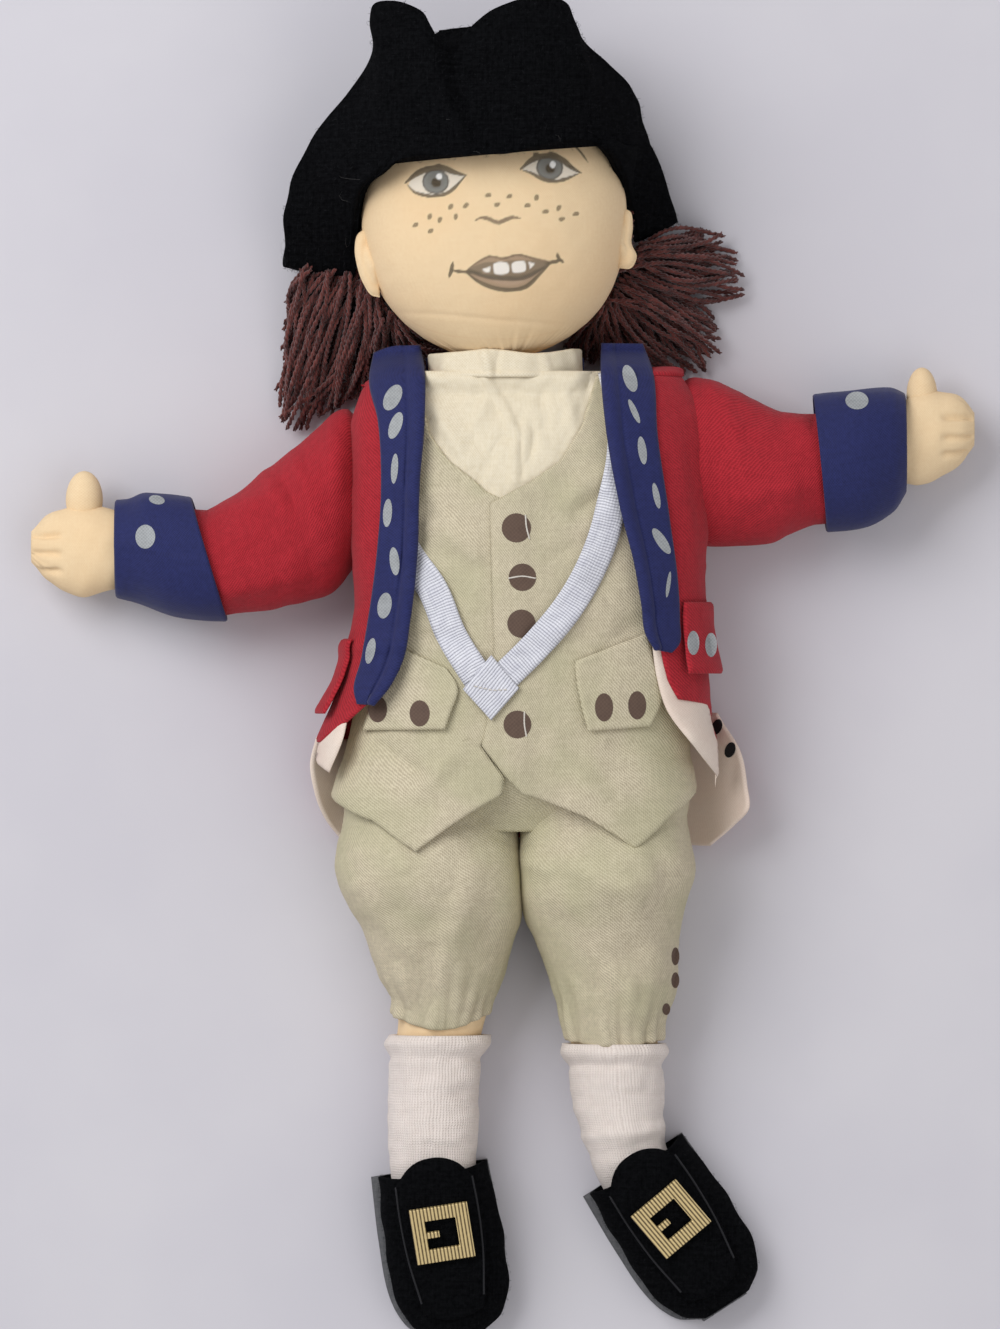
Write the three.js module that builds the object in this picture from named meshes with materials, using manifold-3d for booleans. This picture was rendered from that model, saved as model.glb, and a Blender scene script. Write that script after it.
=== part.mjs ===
// A stuffed cloth doll in an eighteenth-century soldier's dress, lying on its back.
// Millimetres. X runs to the doll's left, Y to the crown of the head, Z up from the table.
// The sides in the names are the doll's own.
import * as THREE from 'three';
import Module from 'manifold-3d';
import { mergeVertices } from 'three/addons/utils/BufferGeometryUtils.js';

const wasm = await Module();
wasm.setup();

// Cloth thicknesses, and the air between two pieces that lie on each other.
const clothGap = 0.45;
const layerGap = 0.85;
const muslinThick = 0.9;
const twillThick = 1.0;
const ribbonThick = 0.7;
const coatThick = 1.2;
const lapelThick = 1.1;
const yarnThick = 2.6;
const feltThick = 2.4;

// Layers on the torso, each as the distance of its inner face from the stuffed body.
const shirtLayer = layerGap;
const waistcoatLayer = shirtLayer + muslinThick + layerGap;
const overWaistcoat = waistcoatLayer + twillThick + layerGap;
const joinLayer = overWaistcoat + ribbonThick + clothGap;
const coatLayer = overWaistcoat + twillThick + clothGap;
const lapelLayer = coatLayer + coatThick + layerGap;

// Heights at which the same layers are pressed flat by the table.
const waistcoatFloor = coatThick + clothGap;
const shirtFloor = waistcoatFloor + twillThick + clothGap;
const torsoFloor = shirtFloor + muslinThick + clothGap;
const crownFloor = feltThick + clothGap;
const hairFloor = crownFloor + feltThick + clothGap;
const headFloor = hairFloor + yarnThick + layerGap;

// Colours and surfaces.
const finishes = {
  skin: { color: 0xecd2a5, roughness: 0.9 },
  shirt: { color: 0xe8dec8, roughness: 0.9 },
  khaki: { color: 0xcdc3a5, roughness: 0.92 },
  ribbon: { color: 0xebebf0, roughness: 0.6 },
  red: { color: 0xb22d37, roughness: 0.9 },
  navy: { color: 0x262d5f, roughness: 0.85 },
  lining: { color: 0xeee1d4, roughness: 0.9 },
  yarn: { color: 0x4b2a26, roughness: 0.95 },
  blackFelt: { color: 0x121416, roughness: 0.98 },
  greySole: { color: 0x6e6e6e, roughness: 0.95 },
  stocking: { color: 0xe1d4c8, roughness: 0.95 },
  gold: { color: 0xd7be82, roughness: 0.4, metalness: 0.7 },
};

// Facets round each kind of form.
const torsoSides = 24;
const headSides = 24;
const neckSides = 18;
const limbSides = 16;
const bunchSides = 10;
const brimSteps = 36;

const fullTurn = 360;
const degrees = THREE.MathUtils.degToRad;
const mix = THREE.MathUtils.lerp;

function between(places, values, where) {
  // Straight-line reading of a table of values at rising places.
  const last = places.length - 1;
  if (where <= places[0]) return values[0];
  if (where >= places[last]) return values[last];
  const next = places.findIndex((place) => place > where);
  const share = (where - places[next - 1]) / (places[next] - places[next - 1]);
  return mix(values[next - 1], values[next], share);
}

function edgeAt(edge, y) {
  // An edge is a list of pairs: the place along Y, then the place across.
  return between(edge.map((pair) => pair[0]), edge.map((pair) => pair[1]), y);
}

// A stuffed form: oval sections strung along Y.
// Each station holds the place along Y, the centre's X, its height, half width, half depth.
class Form {
  constructor(stations, squareness) {
    this.stations = stations;
    this.power = 2 / squareness;
    this.slopes = stations.map((row, index) => this.slope(index));
  }

  slope(index) {
    const before = this.stations[Math.max(index - 1, 0)];
    const after = this.stations[Math.min(index + 1, this.stations.length - 1)];
    return before.map((value, column) => (after[column] - value) / (after[0] - before[0]));
  }

  section(y) {
    const last = this.stations.length - 1;
    if (y <= this.stations[0][0]) return this.stations[0];
    if (y >= this.stations[last][0]) return this.stations[last];
    const next = this.stations.findIndex((row) => row[0] > y);
    const from = this.stations[next - 1];
    const to = this.stations[next];
    const span = to[0] - from[0];
    const t = (y - from[0]) / span;
    const blend = t * t * (3 - 2 * t);
    const leave = t * (1 - t) * (1 - t) * span;
    const arrive = t * t * (1 - t) * span;
    const [slopeFrom, slopeTo] = [this.slopes[next - 1], this.slopes[next]];
    return from.map((value, column) => (
      mix(value, to[column], blend) + leave * slopeFrom[column] - arrive * slopeTo[column]
    ));
  }

  // Angle zero faces up, a quarter turn faces the doll's left.
  point(y, angle, offset = 0, floor = 0) {
    const [, side, lift, wide, deep] = this.section(y);
    const across = Math.sign(Math.sin(angle)) * Math.abs(Math.sin(angle)) ** this.power;
    const up = Math.sign(Math.cos(angle)) * Math.abs(Math.cos(angle)) ** this.power;
    const height = lift + (deep + offset) * up;
    return new THREE.Vector3(side + (wide + offset) * across, y, Math.max(height, floor));
  }

  angleOf(x, y, offset) {
    const [, side, , wide] = this.section(y);
    const share = THREE.MathUtils.clamp((x - side) / (wide + offset), -1, 1);
    return Math.sign(share) * Math.asin(Math.abs(share) ** (1 / this.power));
  }

  rings(from, to, count, sides, offset = 0, floor = 0) {
    return Array.from({ length: count + 1 }, (_, step) => (
      Array.from({ length: sides }, (_, side) => (
        this.point(mix(from, to, step / count), (side / sides) * 2 * Math.PI, offset, floor)
      ))
    ));
  }
}

function solid(points, faces) {
  // A closed body whose faces look outwards whichever way they were listed.
  const geometry = new THREE.BufferGeometry().setFromPoints(points);
  const volume = faces.reduce((sum, [a, b, c]) => (
    sum + points[a].dot(points[b].clone().cross(points[c]))
  ), 0);
  geometry.setIndex(faces.flatMap(([a, b, c]) => (volume > 0 ? [a, b, c] : [a, c, b])));
  return geometry;
}

function bridge(faces, first, second, count, mirrored) {
  // The diagonal always leans the same way along Y, so that nested layers stay apart.
  for (let side = 0; side < count; side += 1) {
    const next = (side + 1) % count;
    if (mirrored) {
      faces.push([first + side, first + next, second + side]);
      faces.push([first + next, second + next, second + side]);
    } else {
      faces.push([first + side, first + next, second + next]);
      faces.push([first + side, second + next, second + side]);
    }
  }
}

function loft(rings, looped = false) {
  // Skins neighbouring rings; open ends are capped, a looped row joins its own start.
  const sides = rings[0].length;
  const points = rings.flat();
  const faces = [];
  const joints = looped ? rings.length : rings.length - 1;
  for (let row = 0; row < joints; row += 1) {
    const next = (row + 1) % rings.length;
    const mirrored = rings[row][0].y > rings[next][0].y;
    bridge(faces, row * sides, next * sides, sides, mirrored);
  }
  if (looped) return solid(points, faces);
  for (const [row, flip] of [[0, true], [rings.length - 1, false]]) {
    const centre = new THREE.Vector3();
    rings[row].forEach((point) => centre.addScaledVector(point, 1 / sides));
    points.push(centre);
    for (let side = 0; side < sides; side += 1) {
      const here = row * sides + side;
      const next = row * sides + ((side + 1) % sides);
      faces.push(flip ? [next, here, points.length - 1] : [here, next, points.length - 1]);
    }
  }
  return solid(points, faces);
}

function sheet(surface, cols, rows, thick) {
  // A sheet of cloth: surface(u, v, height) gives the inner face at 0, the outer at thick.
  const points = [];
  const faces = [];
  const at = (layer, row, col) => (layer * (rows + 1) + row) * (cols + 1) + col;
  for (const height of [0, thick]) {
    for (let row = 0; row <= rows; row += 1) {
      for (let col = 0; col <= cols; col += 1) {
        points.push(surface(col / cols, row / rows, height));
      }
    }
  }
  const quad = (a, b, c, d) => faces.push([a, b, c], [a, c, d]);
  for (let row = 0; row < rows; row += 1) {
    for (let col = 0; col < cols; col += 1) {
      quad(at(0, row, col), at(0, row + 1, col), at(0, row + 1, col + 1), at(0, row, col + 1));
      quad(at(1, row, col), at(1, row, col + 1), at(1, row + 1, col + 1), at(1, row + 1, col));
    }
    quad(at(0, row, 0), at(1, row, 0), at(1, row + 1, 0), at(0, row + 1, 0));
    quad(at(0, row, cols), at(0, row + 1, cols), at(1, row + 1, cols), at(1, row, cols));
  }
  for (let col = 0; col < cols; col += 1) {
    quad(at(0, 0, col), at(0, 0, col + 1), at(1, 0, col + 1), at(1, 0, col));
    quad(at(0, rows, col), at(1, rows, col), at(1, rows, col + 1), at(0, rows, col + 1));
  }
  return solid(points, faces);
}

function wrap(form, piece) {
  // A garment piece laid on a form. left and right give angles for a place along Y,
  // low and high give the hem and the upper edge for a share of the way across.
  const { left, right, low, high, layer, thick, cols, rows, floor = 0, flare = () => 0 } = piece;
  const swell = piece.swell ?? (() => 1);
  return sheet((u, v, height) => {
    const y = mix(low(u), high(u), v);
    const angle = mix(left(y), right(y), u);
    const rise = height * swell(u, v);
    return form.point(y, angle, layer + flare(y, angle) + rise, floor + thick - rise);
  }, cols, rows, thick);
}

function toManifold(geometry) {
  const merged = mergeVertices(geometry);
  return new wasm.Manifold(new wasm.Mesh({
    numProp: 3,
    vertProperties: new Float32Array(merged.attributes.position.array),
    triVerts: new Uint32Array(merged.index.array),
  }));
}

function fuse(first, second) {
  const joined = toManifold(first).add(toManifold(second)).getMesh();
  const geometry = new THREE.BufferGeometry();
  geometry.setAttribute('position', new THREE.BufferAttribute(joined.vertProperties, 3));
  geometry.setIndex(new THREE.BufferAttribute(joined.triVerts, 1));
  return geometry;
}

function piece(name, finish, geometry) {
  const material = new THREE.MeshStandardMaterial({ metalness: 0, ...finishes[finish] });
  const mesh = new THREE.Mesh(geometry, material);
  mesh.name = name;
  return mesh;
}

function group(...members) {
  const made = new THREE.Group();
  made.add(...members);
  return made;
}

// The stuffed forms: place along Y, centre X, centre height, half width, half depth.
const torsoStations = [
  [-46.6, 4.5, 31, 57, 27],
  [-20, 6, 31, 55, 29.5],
  [10, 9.5, 31, 54.5, 31],
  [45, 9.5, 31, 55.5, 31],
  [72, 9, 31, 55.5, 28.5],
  [90, 8, 30.5, 53.5, 23.5],
  [101.5, 7, 30, 48.5, 17],
];
const neckStations = [
  [101.9, 1, 35, 25.3, 19],
  [105.9, 1, 35, 25.3, 19],
];
const shoeStations = [
  [-59, 0, 8, 9, 6],
  [-54, 0, 8.5, 16, 9.6],
  [-42, 0, 10.5, 20.3, 11.6],
  [-22, 0, 13, 20.6, 15.1],
  [-8, 0, 15.5, 19.9, 18.9],
  [0, 0, 16.5, 19.4, 20.2],
];
const crownStations = [
  [20, 0, 40.6, 50.4, 38],
  [32, 0, 40, 46.5, 36],
  [48, 0, 39, 37.5, 29],
  [59, 0, 37, 26, 20],
  [65, 0, 36, 12, 10],
];

// Arms and legs hang along their own -Y; the hinge line crosses them at the height lift.
const limbs = {
  armRight: {
    place: [-75.5, 47],
    turn: -90,
    hinge: { at: 0, lift: 22, radius: 20.4 },
    reach: 96,
    core: [
      [-90, 5.5, 16, 5, 4],
      [-84, 6, 16.5, 11.5, 8],
      [-72, 7, 17, 16.4, 11],
      [-60, 6.5, 18, 14, 11.5],
      [-52, 8, 19, 13.5, 12],
      [-36, 10.5, 20.5, 16.6, 16.4],
      [-22, 10.3, 21, 17.6, 17.4],
      [0, 0, 22, 24.8, 20.4],
      [20.9, -13, 22, 30.4, 20.4],
    ],
    cuff: [
      [-60, 6.2, 18.5, 17.2, 15],
      [-54, 7, 19, 18.5, 17],
      [-44, 8.5, 20.4, 22, 20.4],
      [-27, 10, 21.6, 21.8, 21.6],
    ],
    sleeveEnd: -48,
    thumb: { at: -71, side: -11, lift: 17, long: 10, wide: 6.5, deep: 6.5 },
  },
  armLeft: {
    place: [94.1, 65],
    turn: 90,
    hinge: { at: 0, lift: 22, radius: 20.4 },
    reach: 96,
    core: [
      [-71.8, 18, 16, 5, 4],
      [-67, 17.2, 16.5, 11.6, 8],
      [-59, 15.8, 17, 15.2, 10.5],
      [-52, 14.5, 17.6, 16.6, 11],
      [-46.5, 13, 18.3, 14.6, 11.5],
      [-40, 9.5, 19, 13.6, 12],
      [-26, 5.5, 21, 16.5, 16.4],
      [-13, 3, 21.8, 18.2, 18],
      [0, 0.8, 22, 20.8, 20.4],
      [20.9, 6, 22, 27.4, 20.4],
    ],
    cuff: [
      [-47, 13, 18.5, 17.5, 15.5],
      [-42, 10.5, 19.5, 22, 18.6],
      [-30, 7, 21.5, 24, 21.5],
      [-17, 5.7, 22, 24.3, 22],
    ],
    sleeveEnd: -36,
    thumb: { at: -53, side: 29.5, lift: 17, long: 9.8, wide: 5.4, deep: 6 },
  },
  legRight: {
    hinge: { at: -75, lift: 29.6, radius: 26.7 },
    reach: 160,
    core: [
      [-224, -17, 10.5, 8, 3.5],
      [-217.5, -17.9, 12.2, 12.5, 5.6],
      [-197.7, -21.1, 15.3, 13, 8.6],
      [-177, -24.2, 19.1, 13.4, 12],
      [-165, -24.3, 18, 13.8, 13.6],
      [-150, -24, 16.2, 14.6, 14.6],
      [-132, -22.5, 17, 14.8, 14.8],
      [-122, -21, 18.6, 15.6, 15.6],
      [-110, -21, 21, 19.3, 18],
      [-90, -22, 26, 26, 23],
      [-75, -26, 29.6, 29.8, 26.7],
      [-48, -27.2, 29.6, 30, 26.7],
    ],
    breechesEnd: -127.5,
    stockingTop: -131,
    shoe: { place: [-24.5, -176.6], turn: 9, buckleTurn: 0 },
  },
  legLeft: {
    hinge: { at: -75, lift: 29.6, radius: 26.7 },
    reach: 160,
    core: [
      [-216, 70.5, 10.5, 7, 3.5],
      [-209.2, 66.4, 12.2, 12, 5.6],
      [-192.5, 55.5, 15.3, 13.2, 8.6],
      [-177, 46.5, 19.1, 12.7, 12],
      [-165, 42.8, 18, 12.8, 13.4],
      [-150, 40.5, 16.6, 14.8, 14.8],
      [-135, 39.5, 17.2, 15.2, 15.2],
      [-127, 38.5, 18.6, 16.2, 16],
      [-112, 38.5, 21, 19.8, 18.5],
      [-90, 36.3, 26, 25.6, 23],
      [-75, 36.8, 29.6, 28, 26.7],
      [-48, 36.6, 29.6, 29.8, 26.7],
    ],
    breechesEnd: -133.4,
    stockingTop: -134,
    shoe: { place: [46.8, -175], turn: 33, buckleTurn: 7 },
  },
};
const stockingThick = 1.2;
const coreRootShare = 0.985;
const skinRootShare = 0.993;
const ringPitch = 10;

// The head is an egg with its own tilted frame; the hat shares that frame.
const head = {
  place: [-3, 157.5],
  tilt: 5,
  halfTall: 51,
  halfWide: 46.5,
  halfDeep: 34,
  lift: 41,
};
const headPoleShare = 0.06;
const headFullShare = 0.92;
const headSteps = 16;

// Ears, the yarn cap under the hat and the two bunches of yarn, in the frame of the head.
const earAngles = [58, 80];
const earLow = -24;
const earHigh = -3;
const earThick = 4.6;
const earThinShare = 0.03;
const hairAngle = 84;
const hairLow = -24;
const hairHigh = 30;
const bunchRight = [
  [-57, -70, 6, 9, 5],
  [-48, -64, 9, 14, 8],
  [-36, -58, 10, 17, 9],
  [-24, -53, 13, 16, 9],
  [-15, -49.6, 17, 11, 8],
];
const bunchLeft = [
  [-54, 53, 9, 12, 7],
  [-46, 56, 10, 17, 9],
  [-34, 61, 11, 20, 10],
  [-24, 57, 13, 16, 9],
  [-15, 49.6, 17, 11, 8],
];

// The hat brim from the front corner round to the middle of the back, doll's left half:
// the lower fold and the upper edge, each as X, Y, height in the frame of the head.
const brimAngles = [0, 28, 52, 74, 95, 115, 138, 160, 180];
const brimFold = [
  [0, 19.5, 86],
  [24, 19, 83],
  [43, 14, 71.5],
  [56, 0, 58],
  [62, -11, 40],
  [71, -11, 22],
  [53, -3, 4],
  [26, 2, 0],
  [0, 3, 0],
];
const brimEdge = [
  [-3, 52, 78],
  [12, 68, 68],
  [27, 74, 56],
  [45, 58, 44],
  [56, 38, 31],
  [70, 5, 18],
  [58, 26, 3],
  [30, 46, 0],
  [0, 54, 0],
];
const brimShift = -3;
const brimRing = 16.2;
const brimBulge = 3.5;

// Hems, necklines and front edges, as pairs of Y and X read off the clothes.
const seamAngle = 95;
const coatSeamAngle = 99;
const seamSlit = 0.6;
const shirtLow = 52;
const shirtHigh = 101;
const shirtEdgeRight = [[52, -33], [101, -33]];
const shirtEdgeLeft = [[52, 36], [101, 36]];
const closingEdge = [
  [-46, 8], [-39, 1.4], [-28, -7], [-19, -5], [6, -2.5], [56, -4.2],
  [60, 3], [64, 10], [71, 20], [83, 27.5], [101, 33],
];
const rightEdge = [
  [-65, -8], [-46, 0], [-39, 0.8], [-28, -7.5], [-19, -5.5], [6, -3], [56, -4.7],
  [60, -5.5], [64, -9.5], [71, -18.5], [80, -25], [88, -27], [101, -30],
];
const rightHemShares = [0, 0.25, 0.5, 0.75, 1];
const rightHem = [-45, -49, -54, -65, -45];
const leftHemShares = [0, 0.2, 0.4, 0.6, 0.8, 1];
const leftHem = [-45, -53, -64, -52, -46, -41];
const hemTopShares = [0, 0.2, 0.4, 1];
const rightTop = [66, 90, 101, 101];
const leftTopShares = [0, 0.6, 0.8, 1];
const leftTop = [101, 101, 90, 66];
const waistcoatBackLow = -45;
const garmentTop = 101;
const hemFlare = 4;
const hemFlareTop = -10;
const coatFlare = 9;
const coatFlareTop = 24;
const seatTop = -6;
const coatLow = -27;
const coatLowLeft = -24;
const coatEdgeRight = [[-27, -55], [-13, -43], [63, -31.5], [101, -31.5]];
const coatEdgeLeft = [
  [-24, 63], [-15, 59], [-5, 55.6], [7, 54], [33, 51], [54, 45], [88, 38], [101, 37],
];
const lapelOuterRight = [[-13, -50.5], [63, -42.5], [107, -46.5]];
const lapelInnerRight = [[-13, -40], [63, -28.7], [107, -27.5]];
const lapelInnerLeft = [[5, 51], [33, 47.6], [54, 41.6], [88, 35], [106, 33.6]];
const lapelOuterLeft = [[5, 61], [29, 61.5], [80, 54], [106, 51]];
const beltOuterRight = [
  [-18.5, -4.9], [-9, -13.3], [1, -21], [23, -30], [47, -38], [75, -40], [100.5, -30.5],
];
const beltInnerRight = [
  [-18.5, -4.3], [3.5, -4.3], [19, -15], [37.5, -28.3], [50, -31], [75, -31.5], [100.5, -27],
];
const beltInnerLeft = [
  [-18.5, -3.7], [3.5, -3.7], [16, 11.2], [31.5, 24.9], [44, 30.8], [61, 33], [80, 35], [100.5, 28],
];
const beltOuterLeft = [
  [-18.5, -3.1], [-8.4, 7.7], [1, 16], [23, 29], [41.6, 36.7], [54, 41.6], [71, 42], [100.5, 36],
];
const beltJoin = { x: -4, y: -7.5, half: 10.8 };
const pocketEdges = {
  right: {
    left: [[-25, -46], [6, -37]],
    right: [[-26, -21.5], [-7, -18.5], [-3, -20.5]],
    low: [-24, -26],
    high: [6, -3],
  },
  left: {
    left: [[-22.6, 29.5], [-12, 27], [-2, 25.2], [1.8, 26.3]],
    right: [[-22, 50.4], [-14, 55], [11, 50]],
    low: [-22.5, -23.5],
    high: [1.8, 11],
  },
};
const coatPockets = {
  right: { from: -104, to: -72, low: -17, high: 9 },
  left: { from: 62, to: 98, low: -3, high: 22 },
};
const coatPocketFlare = 3;
const tails = {
  right: { inner: 4, curlStart: -54, outer: [-70.6, -69.2], top: -27.6, low: -60, rise: 24 },
  left: { inner: 6, curlStart: 60, outer: [82, 88], top: -27.6, low: -60, rise: 26 },
};
const turnbackShare = 0.5;
const neckbandTop = 109.2;
const collarLow = 102.6;
const collarTop = 107.6;

// Shoes: the wall of the upper, the tongue laid on it, and the square buckle.
const upperThick = 1.6;
const tongueAngle = 40;
const tongueLow = [-48, -53, -48];
const tongueHigh = [-3, 4, -3];
const tongueThick = 1.6;
const buckle = {
  width: 20.6, hole: 10.8, bar: 2.2, prong: 4.5, thick: 1.6, at: -22, slope: 19.5, clear: 1,
};
const soleRim = 1;

// How square the sections are: 2 is an oval, more is boxier.
const squareShare = 2.3;
const roundShare = 2.1;
const torsoForm = new Form(torsoStations, squareShare);
const neckForm = new Form(neckStations, roundShare);
const shoeForm = new Form(shoeStations, squareShare);
const crownForm = new Form(crownStations, roundShare);

function headStations() {
  // An egg a little fuller than a plain oval, stopping just short of its two poles.
  return Array.from({ length: headSteps + 1 }, (_, step) => {
    const angle = mix(headPoleShare, 1 - headPoleShare, step / headSteps) * Math.PI;
    const swell = Math.sin(angle) ** headFullShare;
    const y = -head.halfTall * Math.cos(angle);
    return [y, 0, head.lift, head.halfWide * swell, head.halfDeep * swell];
  });
}
const headForm = new Form(headStations(), roundShare);

const fixed = (angle) => () => degrees(angle);
const level = (value) => () => value;
const spread = (shares, values) => (u) => between(shares, values, u);
const edgeOn = (form, edge, layer) => (y) => form.angleOf(edgeAt(edge, y), y, layer);

function flareBelow(top, bottom, amount) {
  // Cloth that stands away from the sides more and more below a given place.
  return (y, angle) => {
    const share = THREE.MathUtils.clamp((top - y) / (top - bottom), 0, 1);
    return amount * share * share * Math.abs(Math.sin(angle));
  };
}

function limbPoint(limb, form, y, angle, offset, floor) {
  // The root of a limb is rounded about its hinge line, so that it can swing.
  const { at, lift, radius } = limb.hinge;
  const point = form.point(y, angle, offset, floor);
  if (y <= at) return point;
  const reach = Math.sqrt(Math.max((radius + offset) ** 2 - (y - at) ** 2, 0));
  point.z = THREE.MathUtils.clamp(point.z, lift - reach, lift + reach);
  return point;
}

function limbRings(limb, form, from, to, offset, floor = 0) {
  // Every layer of a limb has its rings at the same places, so that the layers nest.
  const places = [from];
  for (let y = limb.hinge.at - limb.reach; y < to; y += ringPitch) {
    if (y - from > ringPitch / 4 && to - y > ringPitch / 4) places.push(y);
  }
  places.push(to);
  return places.map((y) => Array.from({ length: limbSides }, (_, side) => (
    limbPoint(limb, form, y, (side / limbSides) * 2 * Math.PI, offset, floor)
  )));
}

function coreRoot({ hinge }) {
  return hinge.at + hinge.radius * coreRootShare;
}

function limbSkin(limb, form, end, thick) {
  // A sleeve or breeches leg: open at its end, sewn shut round the root of the limb.
  const skinRoot = limb.hinge.at + (limb.hinge.radius + clothGap + thick) * skinRootShare;
  const outer = limbRings(limb, form, end, skinRoot, clothGap + thick);
  const inner = limbRings(limb, form, end, coreRoot(limb) + clothGap, clothGap, thick);
  return loft([...outer.reverse(), ...inner]);
}

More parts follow.
